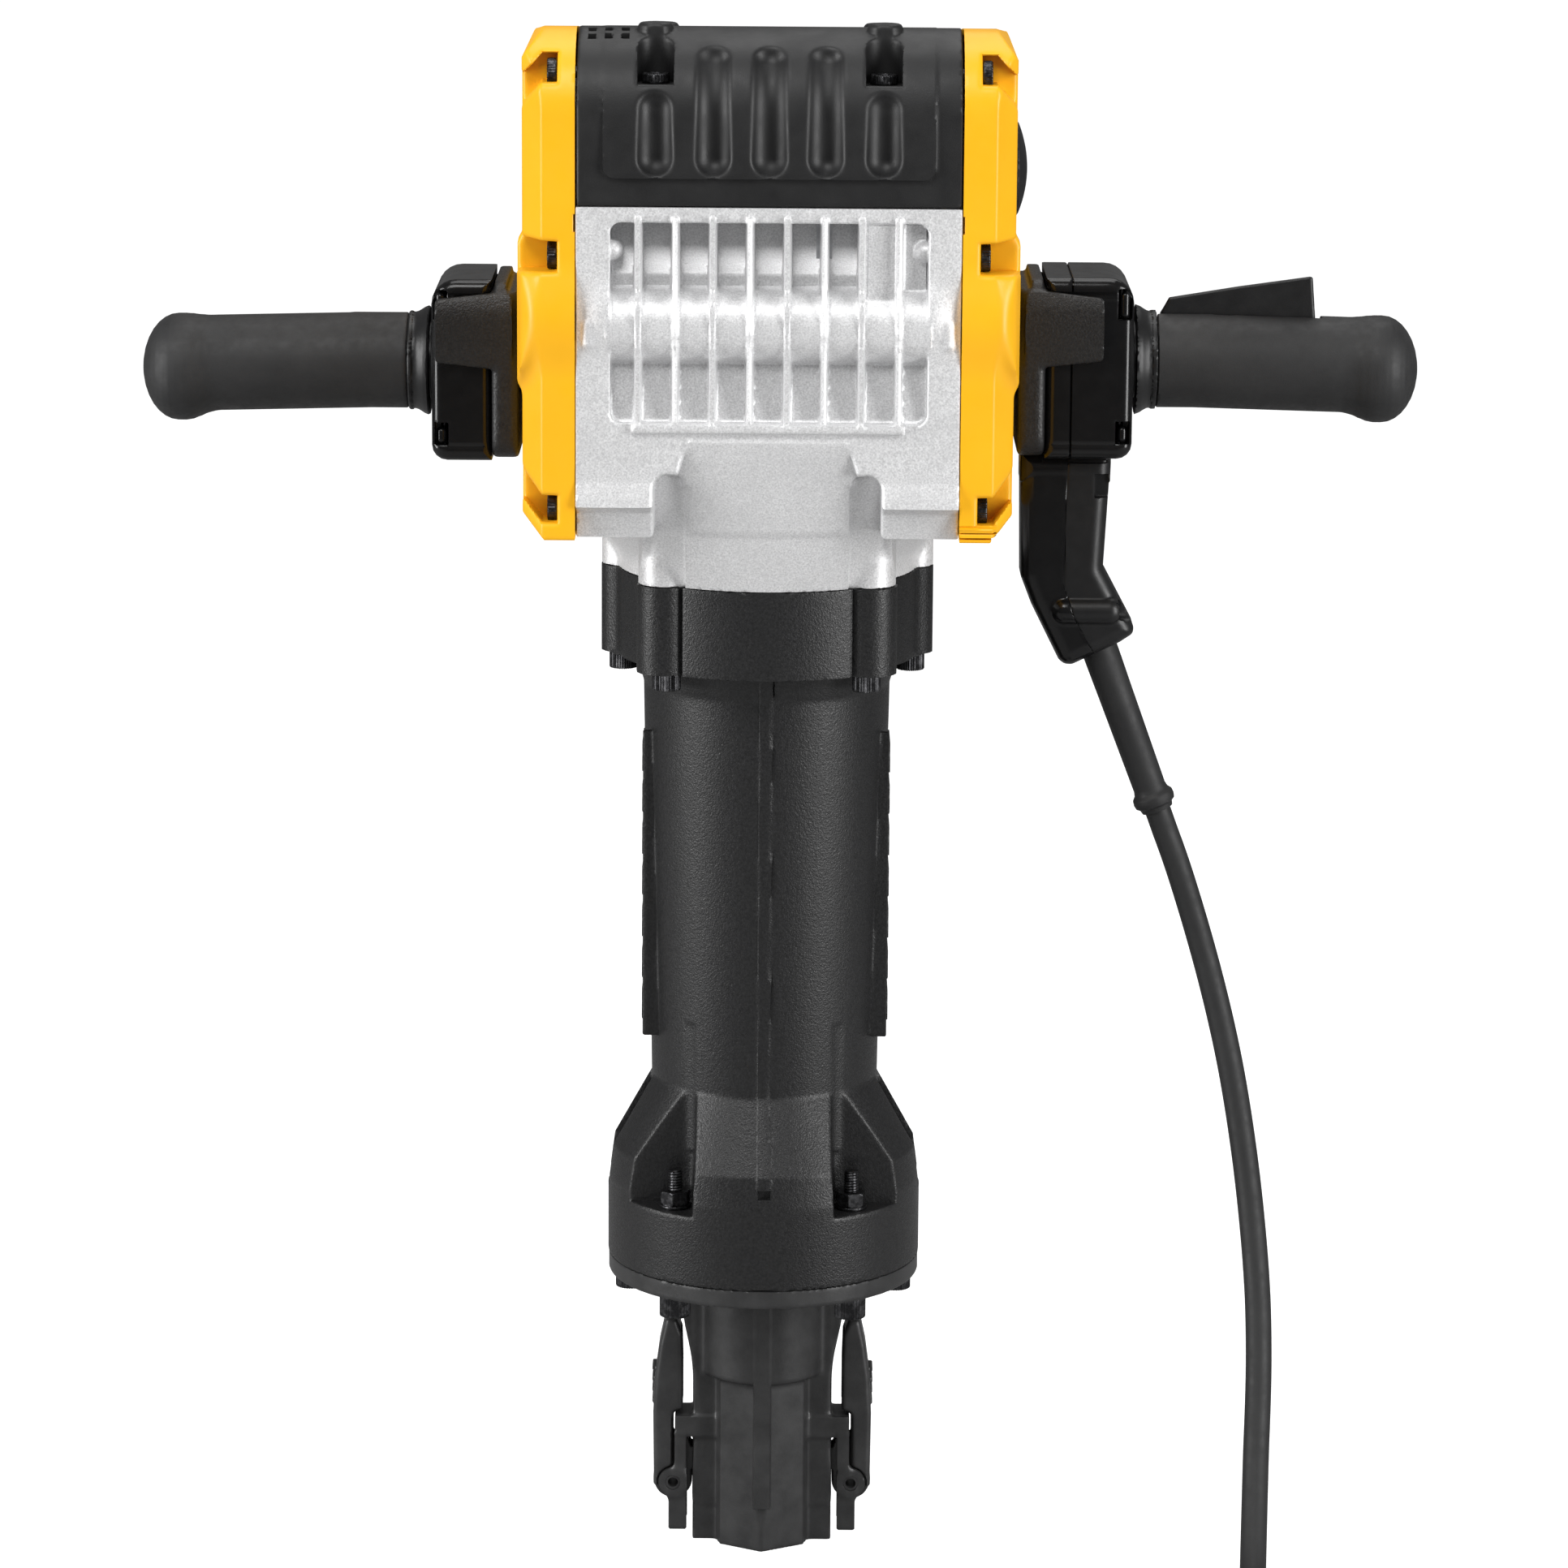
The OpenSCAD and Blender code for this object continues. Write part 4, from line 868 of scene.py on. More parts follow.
COLLAR_LOW, COLLAR_HIGH = 492.0, 538.4
BOLT_RING = 71.5
BOLT_ANGLE = math.radians(49.3)
NUT_PLACES = [(BOLT_RING * math.cos(a), BOLT_RING * math.sin(a))
              for a in (0, math.pi, BOLT_ANGLE, -BOLT_ANGLE, math.pi - BOLT_ANGLE, math.pi + BOLT_ANGLE)]
COLLAR_BOLTS = [(76, 0), (-76, 0)] + [(52 * s, 60.8 * t) for s, t in SIDES]
POCKET_FLOOR = 201.0
BOLT_HOLE = 4.4


def barrel_field():
    bell = offset(turned(2, [(0, 164.4), (82.6, 164.4), (82.6, 207), (80.4, 223.6), (59.2, 262.2),
                             (61.6, 372), (63.6, 457), (64.4, 500), (0, 500)]), 1.2)
    tube = turned(2, [(0, 230), (60.2, 230), (60.2, 263), (64.0, 457), (64, 500), (0, 500)])
    flare = fuse(5.0, bell, turned(2, [(0, 480), (64.5, 480), (71, 493.5), (0, 493.5)]))
    inner = 35.8
    cut = both(0.8, block((inner, -200, POCKET_FLOOR), (200, -44.4, 300)),
               lambda p: inner + 1.7 + 0.055 * (POCKET_FLOOR - p[:, 2]) - p[:, 0])
    cut = carve(3.0, cut, turned(2, [(0, 150), (59.4, 150), (59.4, 300), (0, 300)]))
    cut_side = carve(2.5, block((50, -11.5, POCKET_FLOOR), (200, 11.5, 300), 2),
                     turned(2, [(0, 150), (60.4, 150), (60.4, 300), (0, 300)]))
    body = carve(1.0, flare, folded(cut, (0,)), folded(cut_side, (0,)))
    body = fuse(1.2, body, tube)
    low, high = COLLAR_LOW + 0.8, COLLAR_HIGH - 0.8
    ring = fuse(5.0, *[rod(2, low, high, centre, radius)
                       for centre, radius in (((0, 0), 78.6), ((53, 61), 13.8), ((76, 0), 10.8))])
    panel = both(0.6, rod(2, low, high, (0, 0), 86.5), within(0, 42.6))
    collar = offset(fuse(0.8, folded(ring, (0, 1)), panel), 0.8)
    body = fuse(3.5, body, collar)
    rib = prism(0, 52, 65.6, eased([(-20, 294.5), (17, 294.5), (20, 311), (-17, 311)], 2.5), 1.2)
    ribs = [shifted(rib, (0, 0, 22.5 * i)) for i in range(7)]
    frame_rib = both(1, block((52, -24.5, 287), (64.9, 24.5, 453), 1.0), lambda p: 22.4 - np.abs(p[:, 1]))
    body = fuse(1.0, body, *[folded(f, (0,)) for f in ribs], folded(frame_rib, (0,)))
    band = both(0.4, block((-3.3, -90, 217), (4.3, 0, 494), 0.4), offset(flare, 0.55))
    body = fuse(0.6, body, band)
    seam = block((0.0, -95, 150), (0.7, -60, 216.5))
    slot = block((-2.8, -95, 213), (3.8, -80, 218), 0.4)
    line = block((3.4, -72, 217), (4.2, -58, 493))
    body = carve(0.3, body, both(0, seam, offset(bell, 5), lambda p: -bell(p) - 0.5), slot,
                 both(0, line, lambda p: -bell(p) - 0.35))
    holes = [rod(2, 150, 210, place, BOLT_HOLE) for place in NUT_PLACES]
    holes += [rod(2, 480, 545, place, BOLT_HOLE) for place in COLLAR_BOLTS]
    return carve(0, body, rod(2, 100, 600, (0, 0), 43.3), *holes)


# ---- Tool holder and latches ----

NOSE = [(0, -32), (22.5, -19), (25, -10.8), (37.6, -10.5), (37.6, 10.5), (25, 10.8), (22.5, 19), (0, 32),
        (-22.5, 19), (-25, 10.8), (-37.6, 10.5), (-37.6, -10.5), (-25, -10.8), (-22.5, -19)]
HEX_R = 28.9 / 2 / math.cos(math.pi / 6)
LATCH_AT = (48.3, 33.0)
LATCH_HOLE = 4.05


def tool_holder_field():
    nose = prism(2, 0.2, 150, eased(NOSE, 1.8), 0.8)
    strip = lambda p: np.abs(p[:, 1]) - 30.6 - 1.4 * np.clip((26 - p[:, 2]) / 26, 0, 1)
    nose = both(0.6, nose, strip)
    wings = prism(1, -10.5, 10.5, eased([(-37.6, 20), (37.6, 20), (37.6, 40), (34.3, 76), (36, 92), (42, 121),
                                         (48, 156), (-48, 156), (-42, 121), (-36, 92), (-34.3, 76),
                                         (-37.6, 40)], 6), 1)
    body = fuse(2.2, nose, wings)
    sleeve = rod(2, 94.5, 156, (0, 0), 33.6, 2.5)
    body = fuse(3.0, body, sleeve)
    body = fuse(0.8, body, block((-4.6, -33.9, 25), (4.6, 33.9, 154), 1.2))
    flange = rod(2, 153.2, 162.9, (0, 0), 83.4, 1.0)
    body = fuse(3.5, body, flange)
    arms = block((-47.3, -12.4, 58.8), (47.3, 12.4, 70.7), 1.4)
    body = fuse(3.2, body, arms)
    ear = fuse(4.0, prism(1, 8.6, 12.4, eased([(40.9, 30), (47.4, 30), (47.4, 62), (40.9, 62)], 1), 0.7),
               prism(1, 8.6, 12.4, eased([(40.9, 6.2), (50.7, 6.2), (50.7, 30), (40.9, 30)], 1.2), 0.7),
               rod(1, 8.6, 12.4, LATCH_AT, 7.8, 0.7))
    ear = carve(0, ear, rod(1, 0, 20, LATCH_AT, LATCH_HOLE))
    body = fuse(1.0, body, folded(ear, (0, 1)))
    window = block((HEX_R - 3, -8.3, 30), (38.8, 8.3, 58.6), 1.0)
    spring_room = block((HEX_R - 3, -8.3, 56), (33, 8.3, 66), 1.0)
    groove = block((37.9, -20, 20), (40.7, 20, 58.6), 0.5)
    tools = [prism(2, -2, 152, hexagon(HEX_R, 30)), rod(2, -2, 6, (0, 0), 19), rod(2, 150, 170, (0, 0), 24.1)]
    tools += [rod(2, 150, 170, place, BOLT_HOLE) for place in NUT_PLACES]
    lead = turned(2, [(0, -3), (21.5, -3), (19, 1.2), (0, 1.2)])
    body = carve(0.6, body, folded(fuse(0, window, spring_room, groove), (0,)), lead)
    return carve(0, body, *tools)


def latch_lever_field():
    outer = [(48.5, 26), (58.6, 26), (58.9, 45), (59.2, 72), (58.2, 92), (55.8, 110), (52.6, 125),
             (46.7, 125), (43.4, 116), (42.9, 100), (42.9, 73.2), (48.2, 72.2)]
    body = prism(1, -10.9, 10.9, eased(outer, 3.0), 3.0)
    body = carve(1.0, body, rod(1, 8.0, 30, LATCH_AT, 8.7), rod(1, -30, -8.0, LATCH_AT, 8.7), below(2, 30.5))
    body = carve(1.5, body, both(1, block((40, -7.6, 74), (52.5, 7.6, 119), 2), below(2, 118)))
    web = prism(1, -7.6, 7.6, eased([(57.8, 33), (57.8, 57), (40, 57), (38.6, 51.4), (13.3, 51.4),
                                     (13.3, 42.1), (38, 39.1), (39.2, 33)], 1.5), 1.0)
    knuckle = rod(1, -7.6, 7.6, LATCH_AT, 10.3, 1.0)
    body = fuse(1.5, body, web, knuckle)
    ribs = [rod(1, -6.5, 6.5, (59.3 - 0.028 * (z - 80) ** 2 / 12, z), 1.3, 0.5) for z in (78, 84, 90, 96)]
    body = fuse(1.0, body, both(0, fuse(0, *ribs), below(0, 59.8)))
    return carve(0, body, rod(1, -20, 20, LATCH_AT, LATCH_HOLE), block((39.6, -3.6, 46), (46.4, 3.6, 60)))


def screw_field(head_r, head_h, shank_r, length, socket_r):
    """Socket cap screw along +Z, with its head's underside at the origin."""
    head = rod(2, -head_h, 0, (0, 0), head_r, 0.8)
    knurl = lambda p: head(p) + 0.12 * np.cos(36 * np.arctan2(p[:, 1], p[:, 0])) * (p[:, 2] < -1)
    socket = prism(2, -head_h - 1, -head_h * 0.45, hexagon(socket_r))
    cone = turned(2, [(0, -head_h - 1), (socket_r + 1.2, -head_h - 1), (socket_r - 0.4, -head_h + 0.9),
                      (0, -head_h + 0.9)])
    return fuse(0, carve(0.2, knurl, socket, cone), rod(2, -0.5, length, (0, 0), shank_r, 0.4))


def nut_field():
    """Washer and chamfered hexagon nut."""
    cone = turned(2, [(0, 1.5), (7.0, 1.5), (8.1, 2.4), (8.1, 8.4), (7.0, 9.3), (0, 9.3)])
    nut = both(0.3, prism(2, 1.6, 9.2, hexagon(8.0), 0.2), cone)
    return fuse(0, rod(2, 0, 1.7, (0, 0), 8.3, 0.4), nut)


def thread_field(length, pitch=1.5):
    """The bolt's threaded end, which stands out of its nut."""
    coarse = rod(2, 0, length, (0, 0), 3.9, 0.9)

    def field(p):
        turn = np.arctan2(p[:, 1], p[:, 0]) / (2 * math.pi)
        wave = np.abs((p[:, 2] / pitch - turn) % 1.0 - 0.5) * 2
        return coarse(p) + 0.42 * wave
    return field


def make_barrel():
    make_piece("barrel_casting", barrel_field(), (-88.5, -88.5, 162), (88.5, 88.5, 540), 1.45,
               "casting", "root", "barrel")
    make_piece("tool_holder_forging", tool_holder_field(), (-84.5, -84.5, -1), (84.5, 84.5, 164), 1.15,
               "black_steel", "root", "tool_holder")
    right = field_mesh("right_latch_forging", latch_lever_field(), (12, -12, 22), (61, 12, 127), 0.8)
    left = mirrored_mesh(right, "left_latch_forging")
    finish_piece(right, "black_steel", "right_latch", "latch_lever_right")
    finish_piece(left, "black_steel", "left_latch", "latch_lever_left")
    screw = field_mesh("screw", screw_field(7.3, 9.6, 4, 30, 4.2), (-9, -9, -11), (9, 9, 31), 0.6)
    piece = copies("barrel_screws", [screw], [moved(x, y, COLLAR_LOW) for x, y in COLLAR_BOLTS])
    finish_piece(piece, "fastener", "root", "barrel_bolts")
    screw = field_mesh("screw", screw_field(8.2, 12, 4, 50, 4.6), (-9.5, -9.5, -13), (9.5, 9.5, 51), 0.65)
    thread = field_mesh("thread", thread_field(13), (-5, -5, -1), (5, 5, 14), 0.33)
    thread.data.transform(Matrix.Translation(Vector((0, 0, 56)) * MM))
    piece = copies("holder_screws", [screw, thread], [moved(x, y, 153) for x, y in NUT_PLACES])
    finish_piece(piece, "fastener", "root", "holder_bolts")
    nut = field_mesh("nut", nut_field(), (-9, -9, -1), (9, 9, 10), 0.45)
    turn = Matrix.Rotation(0.35, 4, "Z")
    piece = copies("holder_nut_set", [nut], [moved(x, y, POCKET_FLOOR) @ turn for x, y in NUT_PLACES])
    finish_piece(piece, "fastener", "root", "holder_nuts")


# ---- Handles ----
# The left handle is made on the right-hand side and mirrored.

BRACKET_X, PLATE_X = 129.5, 143.5
LOW_DZ, HIGH_DZ = 47.8, 46.8
SPLIT_X = 157.0
LEFT_Z, LEFT_FACE, LEFT_PIVOT = 645.5, 175.0, 154.5
RIGHT_Z, RIGHT_FACE, RIGHT_PIVOT = 648.5, 189.2, 165.5
PIVOT_HOLE = 5.05
SEAT_AT = (0, 647)
TRIGGER_AT = (209, 659)


def bracket_field(z, reach):
    plate = prism(1, -42, 42, eased([(BRACKET_X, z - LOW_DZ), (PLATE_X, z - LOW_DZ), (PLATE_X, z + HIGH_DZ),
                                     (BRACKET_X, z + HIGH_DZ)], 3.5), 5.0)
    plate = both(3, plate, lambda p: np.hypot(np.maximum(np.abs(p[:, 1]) - 27, 0),
                                              np.maximum(np.abs(p[:, 2] - z) - 32, 0)) - 15)
    arm_side = [(BRACKET_X + 3, z + 1), (BRACKET_X + 14, z + 1.0), (reach, z + 4.6), (reach, z + 37.2),
                (BRACKET_X + 14, z + 40.5), (BRACKET_X + 3, z + 41)]
    arm = both(1.2, prism(1, 37.2, 45, eased(arm_side, 3.4), 0.8),
               rod(0, BRACKET_X, reach, (0, z + 21.5), 45.4, 1))
    body = fuse(2.0, plate, folded(arm, (1,)), rod(0, 97.6, 131, SEAT_AT, 17.9))
    step = block((BRACKET_X - 2, -60, z + 41.5), (BRACKET_X + 6, 60, z + 60), 2)
    body = carve(1.5, body, block((PLATE_X - 1.2, -50, z + 41.8), (PLATE_X + 2, 50, z + 60), 0.5), step)
    return carve(0, body, rod(0, 90, 150, SEAT_AT, 9))


def housing_body(z, x1):
    side = [(PLATE_X + 0.2, z - LOW_DZ)] + arc((x1 - 8, z - LOW_DZ + 8), 8, -90, 0, 4) \
        + arc((x1 - 13, z + HIGH_DZ - 13), 13, 0, 90, 6) + [(PLATE_X + 0.2, z + HIGH_DZ)]
    return prism(1, -37, 37, side, 5.5)


def housing_field(z, x1, pivot, split=None):
    body = housing_body(z, x1)
    ledge = block((PLATE_X - 5, 34.6, z + 36.6), (x1 - 8.2, 60, z + 40.0), 0.6)
    top_corner = block((x1 - 8.4, 30.5, z + 25.5), (x1 - 1.2, 60, z + 41.5), 0.8)
    low_corner = block((x1 - 8.8, 30.5, z - 39.5), (x1 - 1.6, 60, z - 27.5), 0.8)
    line = block((PLATE_X - 5, 36.4, z - 40.2), (x1 - 8.6, 60, z - 39.5))
    body = carve(0.7, body, *[folded(f, (1,)) for f in (ledge, top_corner, low_corner, line)])
    posts = [capsule((x1 - 4.7, 31.4, z + 28), (x1 - 4.7, 31.4, z + 37.5), 2.6),
             capsule((x1 - 5.1, 31.4, z - 37), (x1 - 5.1, 31.4, z - 33), 2.7)]
    body = fuse(0.3, body, *[folded(f, (1,)) for f in posts])
    rim = rod(0, x1 - 6, x1 + 0.1, (0, z), 33, 1.5)
    body = fuse(2.0, body, both(0, rim, below(0, x1)))
    if split:
        groove = block((SPLIT_X - 0.5, -60, z - 60), (SPLIT_X + 0.5, 60, z + 60))
        body = carve(0.5, body, both(0, groove, lambda p: -housing_body(z, x1)(p) - 0.7))
        body = both(0, body, below(0, SPLIT_X) if split == "inner" else above(0, SPLIT_X))
    room = block((PLATE_X - 5, -32.5, z - 43.2), (x1 - 4.6, 32.5, z + 42.2))
    return carve(0, body, room, rod(0, x1 - 10, x1 + 5, (0, z), 26),
                 rod(1, -35.2, 35.2, (pivot, z), PIVOT_HOLE))


def boot_field(z, x1, x2, pivot):
    start = x1 + 2.4
    lip = [(20, -0.2), (28.2, 0), (28.6, 0.8), (27.8, 2.8), (26.6, 4.6), (25.7, 6.2), (25.2, 8.2), (25.2, 8.4),
           (25.9, 8.9), (25.9, 10.2), (25.3, 10.9), (20.3, 10.9)]
    flare = [(0, x1 - 4), (20, x1 - 4)] + [(r, start + x) for r, x in lip] + [(20.3, x2), (0, x2)]
    body = turned(0, flare, (0, z))
    eye = fuse(0, rod(1, -17, 17, (pivot, z), 10.5, 1), block((pivot, -17, z - 11), (x1 + 2, 17, z + 11), 2))
    return carve(0, fuse(0.4, body, eye), rod(1, -20, 20, (pivot, z), PIVOT_HOLE))


def grip_field(z, x0, x_end):
    """Round bar that falls a little, and ends in a rounded knob."""
    bar = capsule((x0 + 20, 0, z), (x_end - 40, 0, z - 2.0), 25.0)
    bar = both(1.2, fuse(0, bar, rod(0, x0 - 5, x0 + 30, (0, z), 25.0)), above(0, x0 + 0.2))
    knob_x = x_end - 18.8
    end = [(28.0 * math.cos(a), knob_x + 18.7 * math.sin(a)) for a in np.linspace(math.pi / 2, 0, 9)]
    start = [(28.0, knob_x - 4), (27.3, knob_x - 8), (25.4, knob_x - 12), (22.0, knob_x - 15.5),
             (0, knob_x - 15.5)]
    body = fuse(7.0, bar, turned(0, end + start, (0, z - 4.2)))
    return carve(0, body, rod(0, x0 - 5, x_end - 22, (0, z), 20.3))


TRIGGER = [(204.7, 655.5), (205.3, 674), (209, 681.6), (245, 687.6), (282.6, 693.0), (284, 692.4),
           (286.0, 668), (280, 661), (214, 655.5)]


def trigger_field():
    """Paddle whose top falls towards its back."""
    paddle = prism(1, -2.9, 12.9, eased(TRIGGER, 1.4), 1.6)

    def leaned(p):
        q, t = p.copy(), np.clip((p[:, 2] - 662) / 16, 0, 1)
        q[:, 2] += 0.25 * np.clip(p[:, 1] + 2, 0, 15) * t * t * (3 - 2 * t)
        return paddle(q)
    return carve(0, leaned, rod(1, -30, 30, TRIGGER_AT, 2.55))


def make_handles():
    z, x1 = LEFT_Z, LEFT_FACE
    left_pieces = (
        ("left_bracket_casting", bracket_field(z, 173), (97, -46, z - 49), (174.5, 46, z + 48), 1.15,
         "casting", "root", "left_handle_bracket"),
        ("left_housing_moulding", housing_field(z, x1, LEFT_PIVOT), (143, -38, z - 49), (x1 + 1, 38, z + 48),
         0.95, "gloss", "root", "left_handle_housing"),
        ("left_boot_moulding", boot_field(z, x1, 308, LEFT_PIVOT), (143, -32, z - 32), (309, 32, z + 32),
         1.0, "boot", "left_handle", "left_handle_arm"),
        ("left_grip_rubber", grip_field(z, x1 + 13.4, 328), (187, -30, z - 34), (329, 30, z + 30),
         1.3, "rubber", "left_handle", "left_grip"))
    for name, field, low, high, cell, look, body, node in left_pieces:
        finish_piece(mirrored(field_mesh("m", field, low, high, cell), name), look, body, node)

    z, x1 = RIGHT_Z, RIGHT_FACE
    make_piece("right_bracket_casting", bracket_field(z, 173.6), (97, -46, z - 49), (175, 46, z + 48), 1.15,
               "casting", "root", "right_handle_bracket")
    for side, low_x, high_x in (("inner", 143, SPLIT_X + 1), ("outer", SPLIT_X - 1, x1 + 1)):
        make_piece("right_housing_" + side, housing_field(z, x1, RIGHT_PIVOT, side), (low_x, -38, z - 49),
                   (high_x, 38, z + 48), 0.95, "gloss", "root", "right_handle_housing_" + side)
    slot = block((203, -3.8, 650), (289, 13.8, 700), 0.6)
    room = block((224, -9, 634), (268, 9, 651))
    pin = rod(1, -17, 17, TRIGGER_AT, 2.5)
    arm = carve(0, boot_field(z, x1, 320, RIGHT_PIVOT), slot, room, pin)
    make_piece("right_boot_moulding", arm, (154, -32, z - 32), (321, 32, z + 32), 1.0,
               "boot", "right_handle", "right_handle_arm")
    grip = carve(0, carve(0.5, grip_field(z, x1 + 13.4, 340), slot), pin)
    make_piece("right_grip_rubber", grip, (201, -30, z - 34), (341, 30, z + 30), 1.3,
               "rubber", "right_handle", "right_grip")
    make_piece("trigger_moulding", trigger_field(), (203, -4, 654), (288, 14, 695), 0.75,
               "boot", "trigger", "trigger")


def make_pivot_pins():
    """Pivot pins, which end just below the housings' faces."""
    for name, x, z in (("left_pivot_pin", -LEFT_PIVOT, LEFT_Z), ("right_pivot_pin", RIGHT_PIVOT, RIGHT_Z)):
        make_piece(name + "_bar", rod(1, -35, 35, (x, z), 5.0, 1.0), (x - 6, -36, z - 6), (x + 6, 36, z + 6),
                   0.7, "steel", "root", name)


# ---- Cord arm, strain relief, service cap and cover screws ----

ARM_TOP = 600.6
RELIEF_A, RELIEF_B = (174.6, 0.0, 498.0), (208.6, 0.0, 407.0)
ARM = [(132.2, ARM_TOP), (133.2, 535), (139, 520), (154, 490), (157, 487.7), (161, 487.4), (186, 499.5),
       (193, 504.2), (193.4, 508), (176.6, 539.5), (179.8, ARM_TOP)]
SEAM = [(100, 640), (157, 640), (157, ARM_TOP), (155.8, 531), (162, 513), (177, 486), (190, 460), (100, 460)]


def cord_arm_field(half):
    body = prism(1, -17.9, 17.9, eased(ARM, 5.0), 8.0)
    head = [(132.2, 585), (179.5, 585), (179.8, ARM_TOP), (132.2, ARM_TOP)]
    body = fuse(0.6, body, both(1, prism(1, -17.9, 17.9, head, 7), above(2, 585)))
    boss = capsule((156.5, -15, 517), (180, -15, 517), 7.3)
    body = fuse(1.2, body, boss)
    screw_hole = rod(0, 180.5, 200, (-14, 517), 5.6)
    window = block((171.0, -25, 577.5), (178.6, -11.5, 590.0), 0.6)
    ring = block((157.5, -30, 596.0), (178, 30, 597.2), 0.2)
    ring = both(0, ring, lambda p: -prism(1, -17.2, 17.2, eased(ARM, 5.0), 8.0)(p))
    body = carve(0.5, body, screw_hole, window, ring)
    room = prism(1, -11, 11, [(139, 595), (140, 535), (158, 510), (168, 516), (169.5, 540), (172, 595)])
    channel = placed(rod(2, -4, 60, (0, 0), 9.8), pointing(RELIEF_A, Vector(RELIEF_B) - Vector(RELIEF_A)))
    split = prism(1, -60, 60, SEAM)
    body = both(0.7, body, split if half == "inner" else (lambda p: -split(p)))
    return carve(0, body, room, channel, rod(0, 152, 200, (-14, 517), 3.05))


def relief_field(length):
    bead = [(8.7, 13), (9.3, 10.5), (10.9, 8.5), (11.2, 6), (10.7, 3.8), (9.0, 2.6), (8.4, 0.2), (0, 0.2)]
    outline = [(0, -4), (9.6, -4), (9.6, 10), (9.3, 30)] + [(r, length - z) for r, z in bead]
    return carve(0.3, turned(2, outline), rod(2, length - 1.2, length + 2, (0, 0), 7.3))


def make_cord_arm():
    for half in ("inner", "outer"):
        make_piece("cord_arm_shell_" + half, cord_arm_field(half), (131, -22.5, 486), (195, 19, 602), 0.95,
                   "gloss" if half == "inner" else "boot", "root", "cord_arm_" + half)
    direction = Vector(RELIEF_B) - Vector(RELIEF_A)
    piece = field_mesh("strain_relief_moulding", relief_field(direction.length), (-12, -12, -5),
                       (12, 12, direction.length + 1), 0.8)
    matrix = pointing(Vector(RELIEF_A) * MM, direction)
    piece.data.transform(matrix)
    return finish_piece(piece, "cord", "root", "strain_relief")


def cap_field():
    """Domed cap on the right side cover, with a rim and a coin slot."""
    radius = (31.0 ** 2 + 8.4 ** 2) / 2 / 8.4
    half = math.asin(31 / radius)
    dome = [(radius * math.sin(a), radius * math.cos(a) - radius + 8.4) for a in np.linspace(half, 0, 12)]
    body = turned(0, [(0, 0)] + [(r, max(x, 0.0)) for r, x in dome])
    ring = turned(0, [(25.2, 0.4), (24.4, 8), (23.6, 8), (24.4, 0.4)])
    slot = block((2.6, -2.0, -17), (12, 2.0, 17), 1.0)
    return carve(0.6, body, ring, slot)


def make_fasteners():
    piece = field_mesh("service_cap_moulding", cap_field(), (-1, -33, -33), (9, 33, 33), 0.8)
    piece.data.transform(Matrix.Translation(Vector((SIDE_X, 0, 748.4)) * MM))
    finish_piece(piece, "moulded", "root", "service_cap")

    def fallen(back, z):
        """Height of a screw near the top, which is lower at the back."""
        return z - (TOP_FALL if back > 0 and z > 750 else 0)
    side_places = [moved(107 * s, y * t, fallen(t, z)) @ Matrix.Rotation(-s * math.pi / 2, 4, "Y")
                   for s, t in SIDES for y, z in ((97, 806), (100, 714), (100, 585))]
    top_places = [moved(SCREW_X * s, SCREW_Y * t, fallen(t, SCREW_Z)) @ Matrix.Rotation(math.pi, 4, "X")
                  for s, t in SIDES]
    screw = screw_field(7.0, 5.0, 3.0, 15, 3.6)
    sets = []
    for name, places in (("side_cover_screw_set", side_places), ("top_cover_screw_set", top_places)):
        head = field_mesh("screw", screw, (-8, -8, -6), (8, 8, 16), 0.55)
        sets.append(copies(name, [head], places))
    piece = copies("cover_screw_set", sets, [Matrix.Identity(4)])
    finish_piece(piece, "fastener", "root", "cover_screws")


# ---- Cord ----

ROUTE = [(208.6, 0, 407), (213, 0, 395), (220, -1, 376), (230, -4, 345), (240, -9, 310), (249, -16, 272),
         (256, -25, 232), (261, -37, 192), (264, -52, 152), (264, -70, 114), (262, -90, 79), (260, -113, 50),
         (258, -137, 29), (256, -163, 16), (255, -190, 9.5), (254, -217, 7.7), (252, -250, 7.2)]
CORD_D = 14.0
COIL_X, COIL_Y = 170.0, -250.0
PLUG_Y = -353.0


def smooth_route(points, steps):
    """Catmull-Rom curve through the points."""
    p = np.array(points, dtype=float)
    p = np.vstack([p[0], p, p[-1]])
    out = []
    for i in range(1, len(p) - 2):
        a, b, c, d = p[i - 1:i + 3]
        for t in np.arange(steps) / steps:
            out.append(0.5 * (2 * b + (c - a) * t + (2 * a - 5 * b + 4 * c - d) * t * t
                              + (3 * b - a - 3 * c + d) * t ** 3))
    out.append(p[-2])
    return np.array(out)


def ease(t):
    t = min(max(t, 0.0), 1.0)
    return t * t * (3 - 2 * t)


WIDE, NARROW, LOW, HIGH = 82.0, 68.0, 7.2, 21.6
LEAVE = 1140
TAIL = [(211, -321, 21.6), (189.3, -333.5, 20.9), (170, -344, 18), (153, -350.5, 16), (136, -353, 15)]


def coil_point(angle):
    """A point of the coil, this many degrees from its start: wide, narrow, up a layer, and wide again."""
    radius = WIDE + (NARROW - WIDE) * ease((angle - 300) / 50) + (WIDE - NARROW) * ease((angle - 900) / 80)
    height = LOW + (HIGH - LOW) * ease((angle - 620) / 80)
    a = -math.radians(angle)
    return COIL_X + radius * math.cos(a), COIL_Y + radius * math.sin(a), height


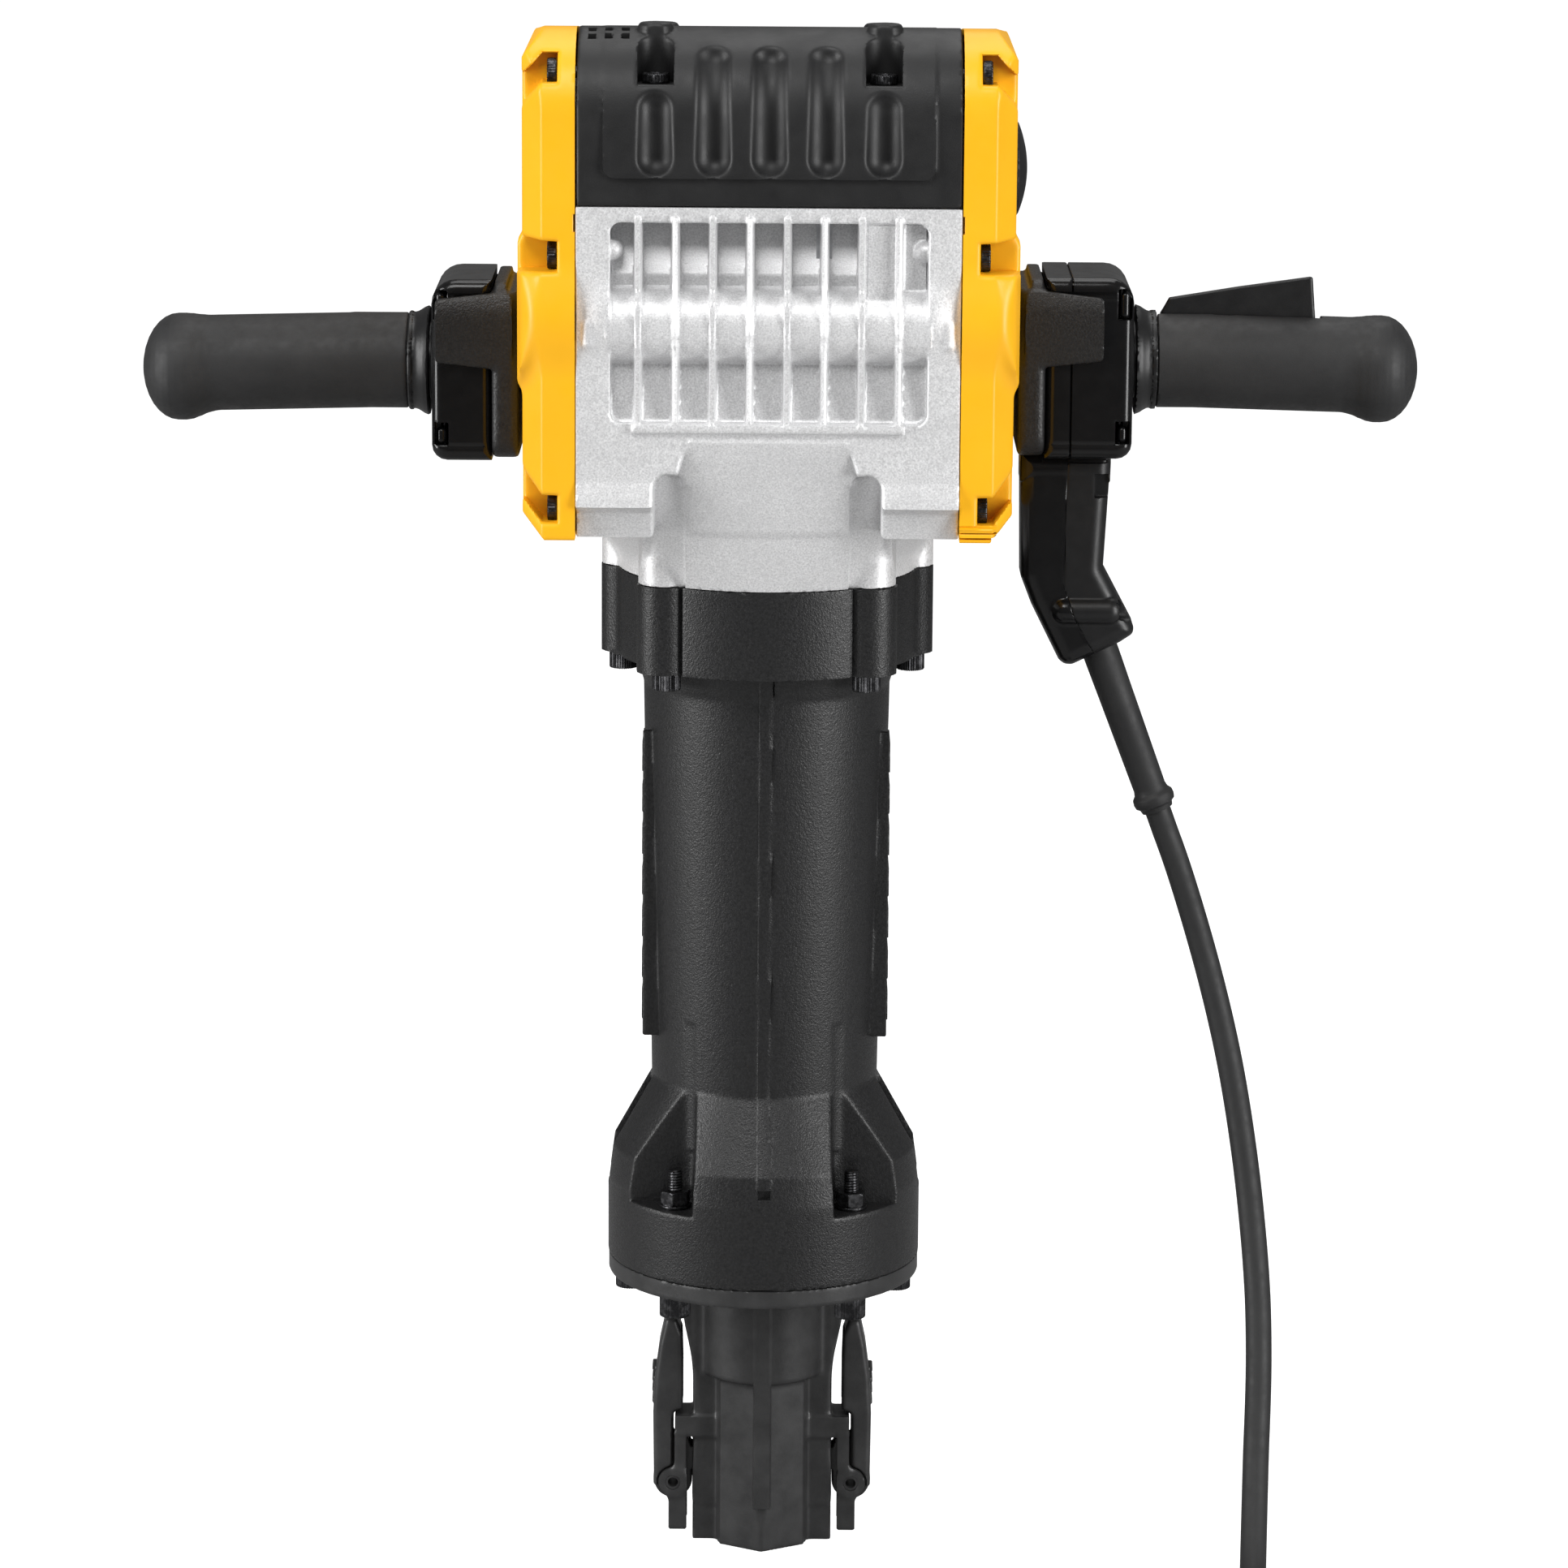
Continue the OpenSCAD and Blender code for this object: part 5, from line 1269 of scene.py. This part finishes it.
def cord_points():
    """From the strain relief to the floor, round the coil, and on to the plug."""
    coil = [coil_point(angle) for angle in range(15, LEAVE, 15)]
    return np.vstack([smooth_route(ROUTE, 2), np.array(coil), smooth_route(TAIL, 2)])


def make_cord():
    points = cord_points() * MM
    curve = bpy.data.curves.new("mains_cord", "CURVE")
    curve.dimensions = "3D"
    curve.bevel_depth = CORD_D / 2 * MM
    curve.bevel_resolution = 7
    curve.resolution_u = 2
    curve.use_fill_caps = True
    spline = curve.splines.new("POLY")
    dense = smooth_route(points, 3)
    spline.points.add(len(dense) - 1)
    for point, place in zip(spline.points, dense):
        point.co = (*place, 1)
    spline.use_smooth = True
    cord = add_object("mains_cord", curve)
    curve.materials.append(LOOKS["cord"][1])
    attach(cord, "root")
    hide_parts("cord_tube", "cord_coil")
    plug = make_piece("plug_moulding", plug_field(), (62, PLUG_Y - 17, -1), (138, PLUG_Y + 17, 31), 0.7,
                      "cord", "root", "plug_body")


def plug_field():
    """Moulded plug: round body with finger grips, and a ribbed strain relief."""
    y, z = PLUG_Y, 15.0
    body = turned(0, [(0, 64.2), (13.6, 64.2), (14.9, 65.5), (14.9, 84), (12.8, 90), (10.4, 96), (8.9, 98),
                      (8.2, 136), (0, 136)], (y, z))
    body = both(1.5, body, lambda p: np.abs(p[:, 1] - y) - 14.3)
    dents = [rod(2, -10, 50, (72 + 5 * i, y + 16.6 * s), 2.6) for i in range(3) for s in (-1, 1)]
    rings = [turned(0, [(7.2, 101 + 5 * i), (12, 101 + 5 * i), (12, 103 + 5 * i), (7.2, 103 + 5 * i)], (y, z))
             for i in range(6)]
    return carve(0.5, body, *dents, *rings)


def dress_inner_nodes():
    """The CAD nodes that are shown as they are get their slot's material."""
    materials = {}
    for slot, material in LOOKS.values():
        materials.setdefault(slot, material)
    for part in frame["record"]["subparts"]:
        node = NODES[part["node"]]
        node.data.materials.clear()
        node.data.materials.append(materials[part["material_slot"]])


# ---- The scene ----

make_camera()
relief = make_cord_arm()
make_cord()
make_lights()
make_floor()
dress_inner_nodes()
make_housing()
make_barrel()
make_handles()
make_pivot_pins()
make_fasteners()
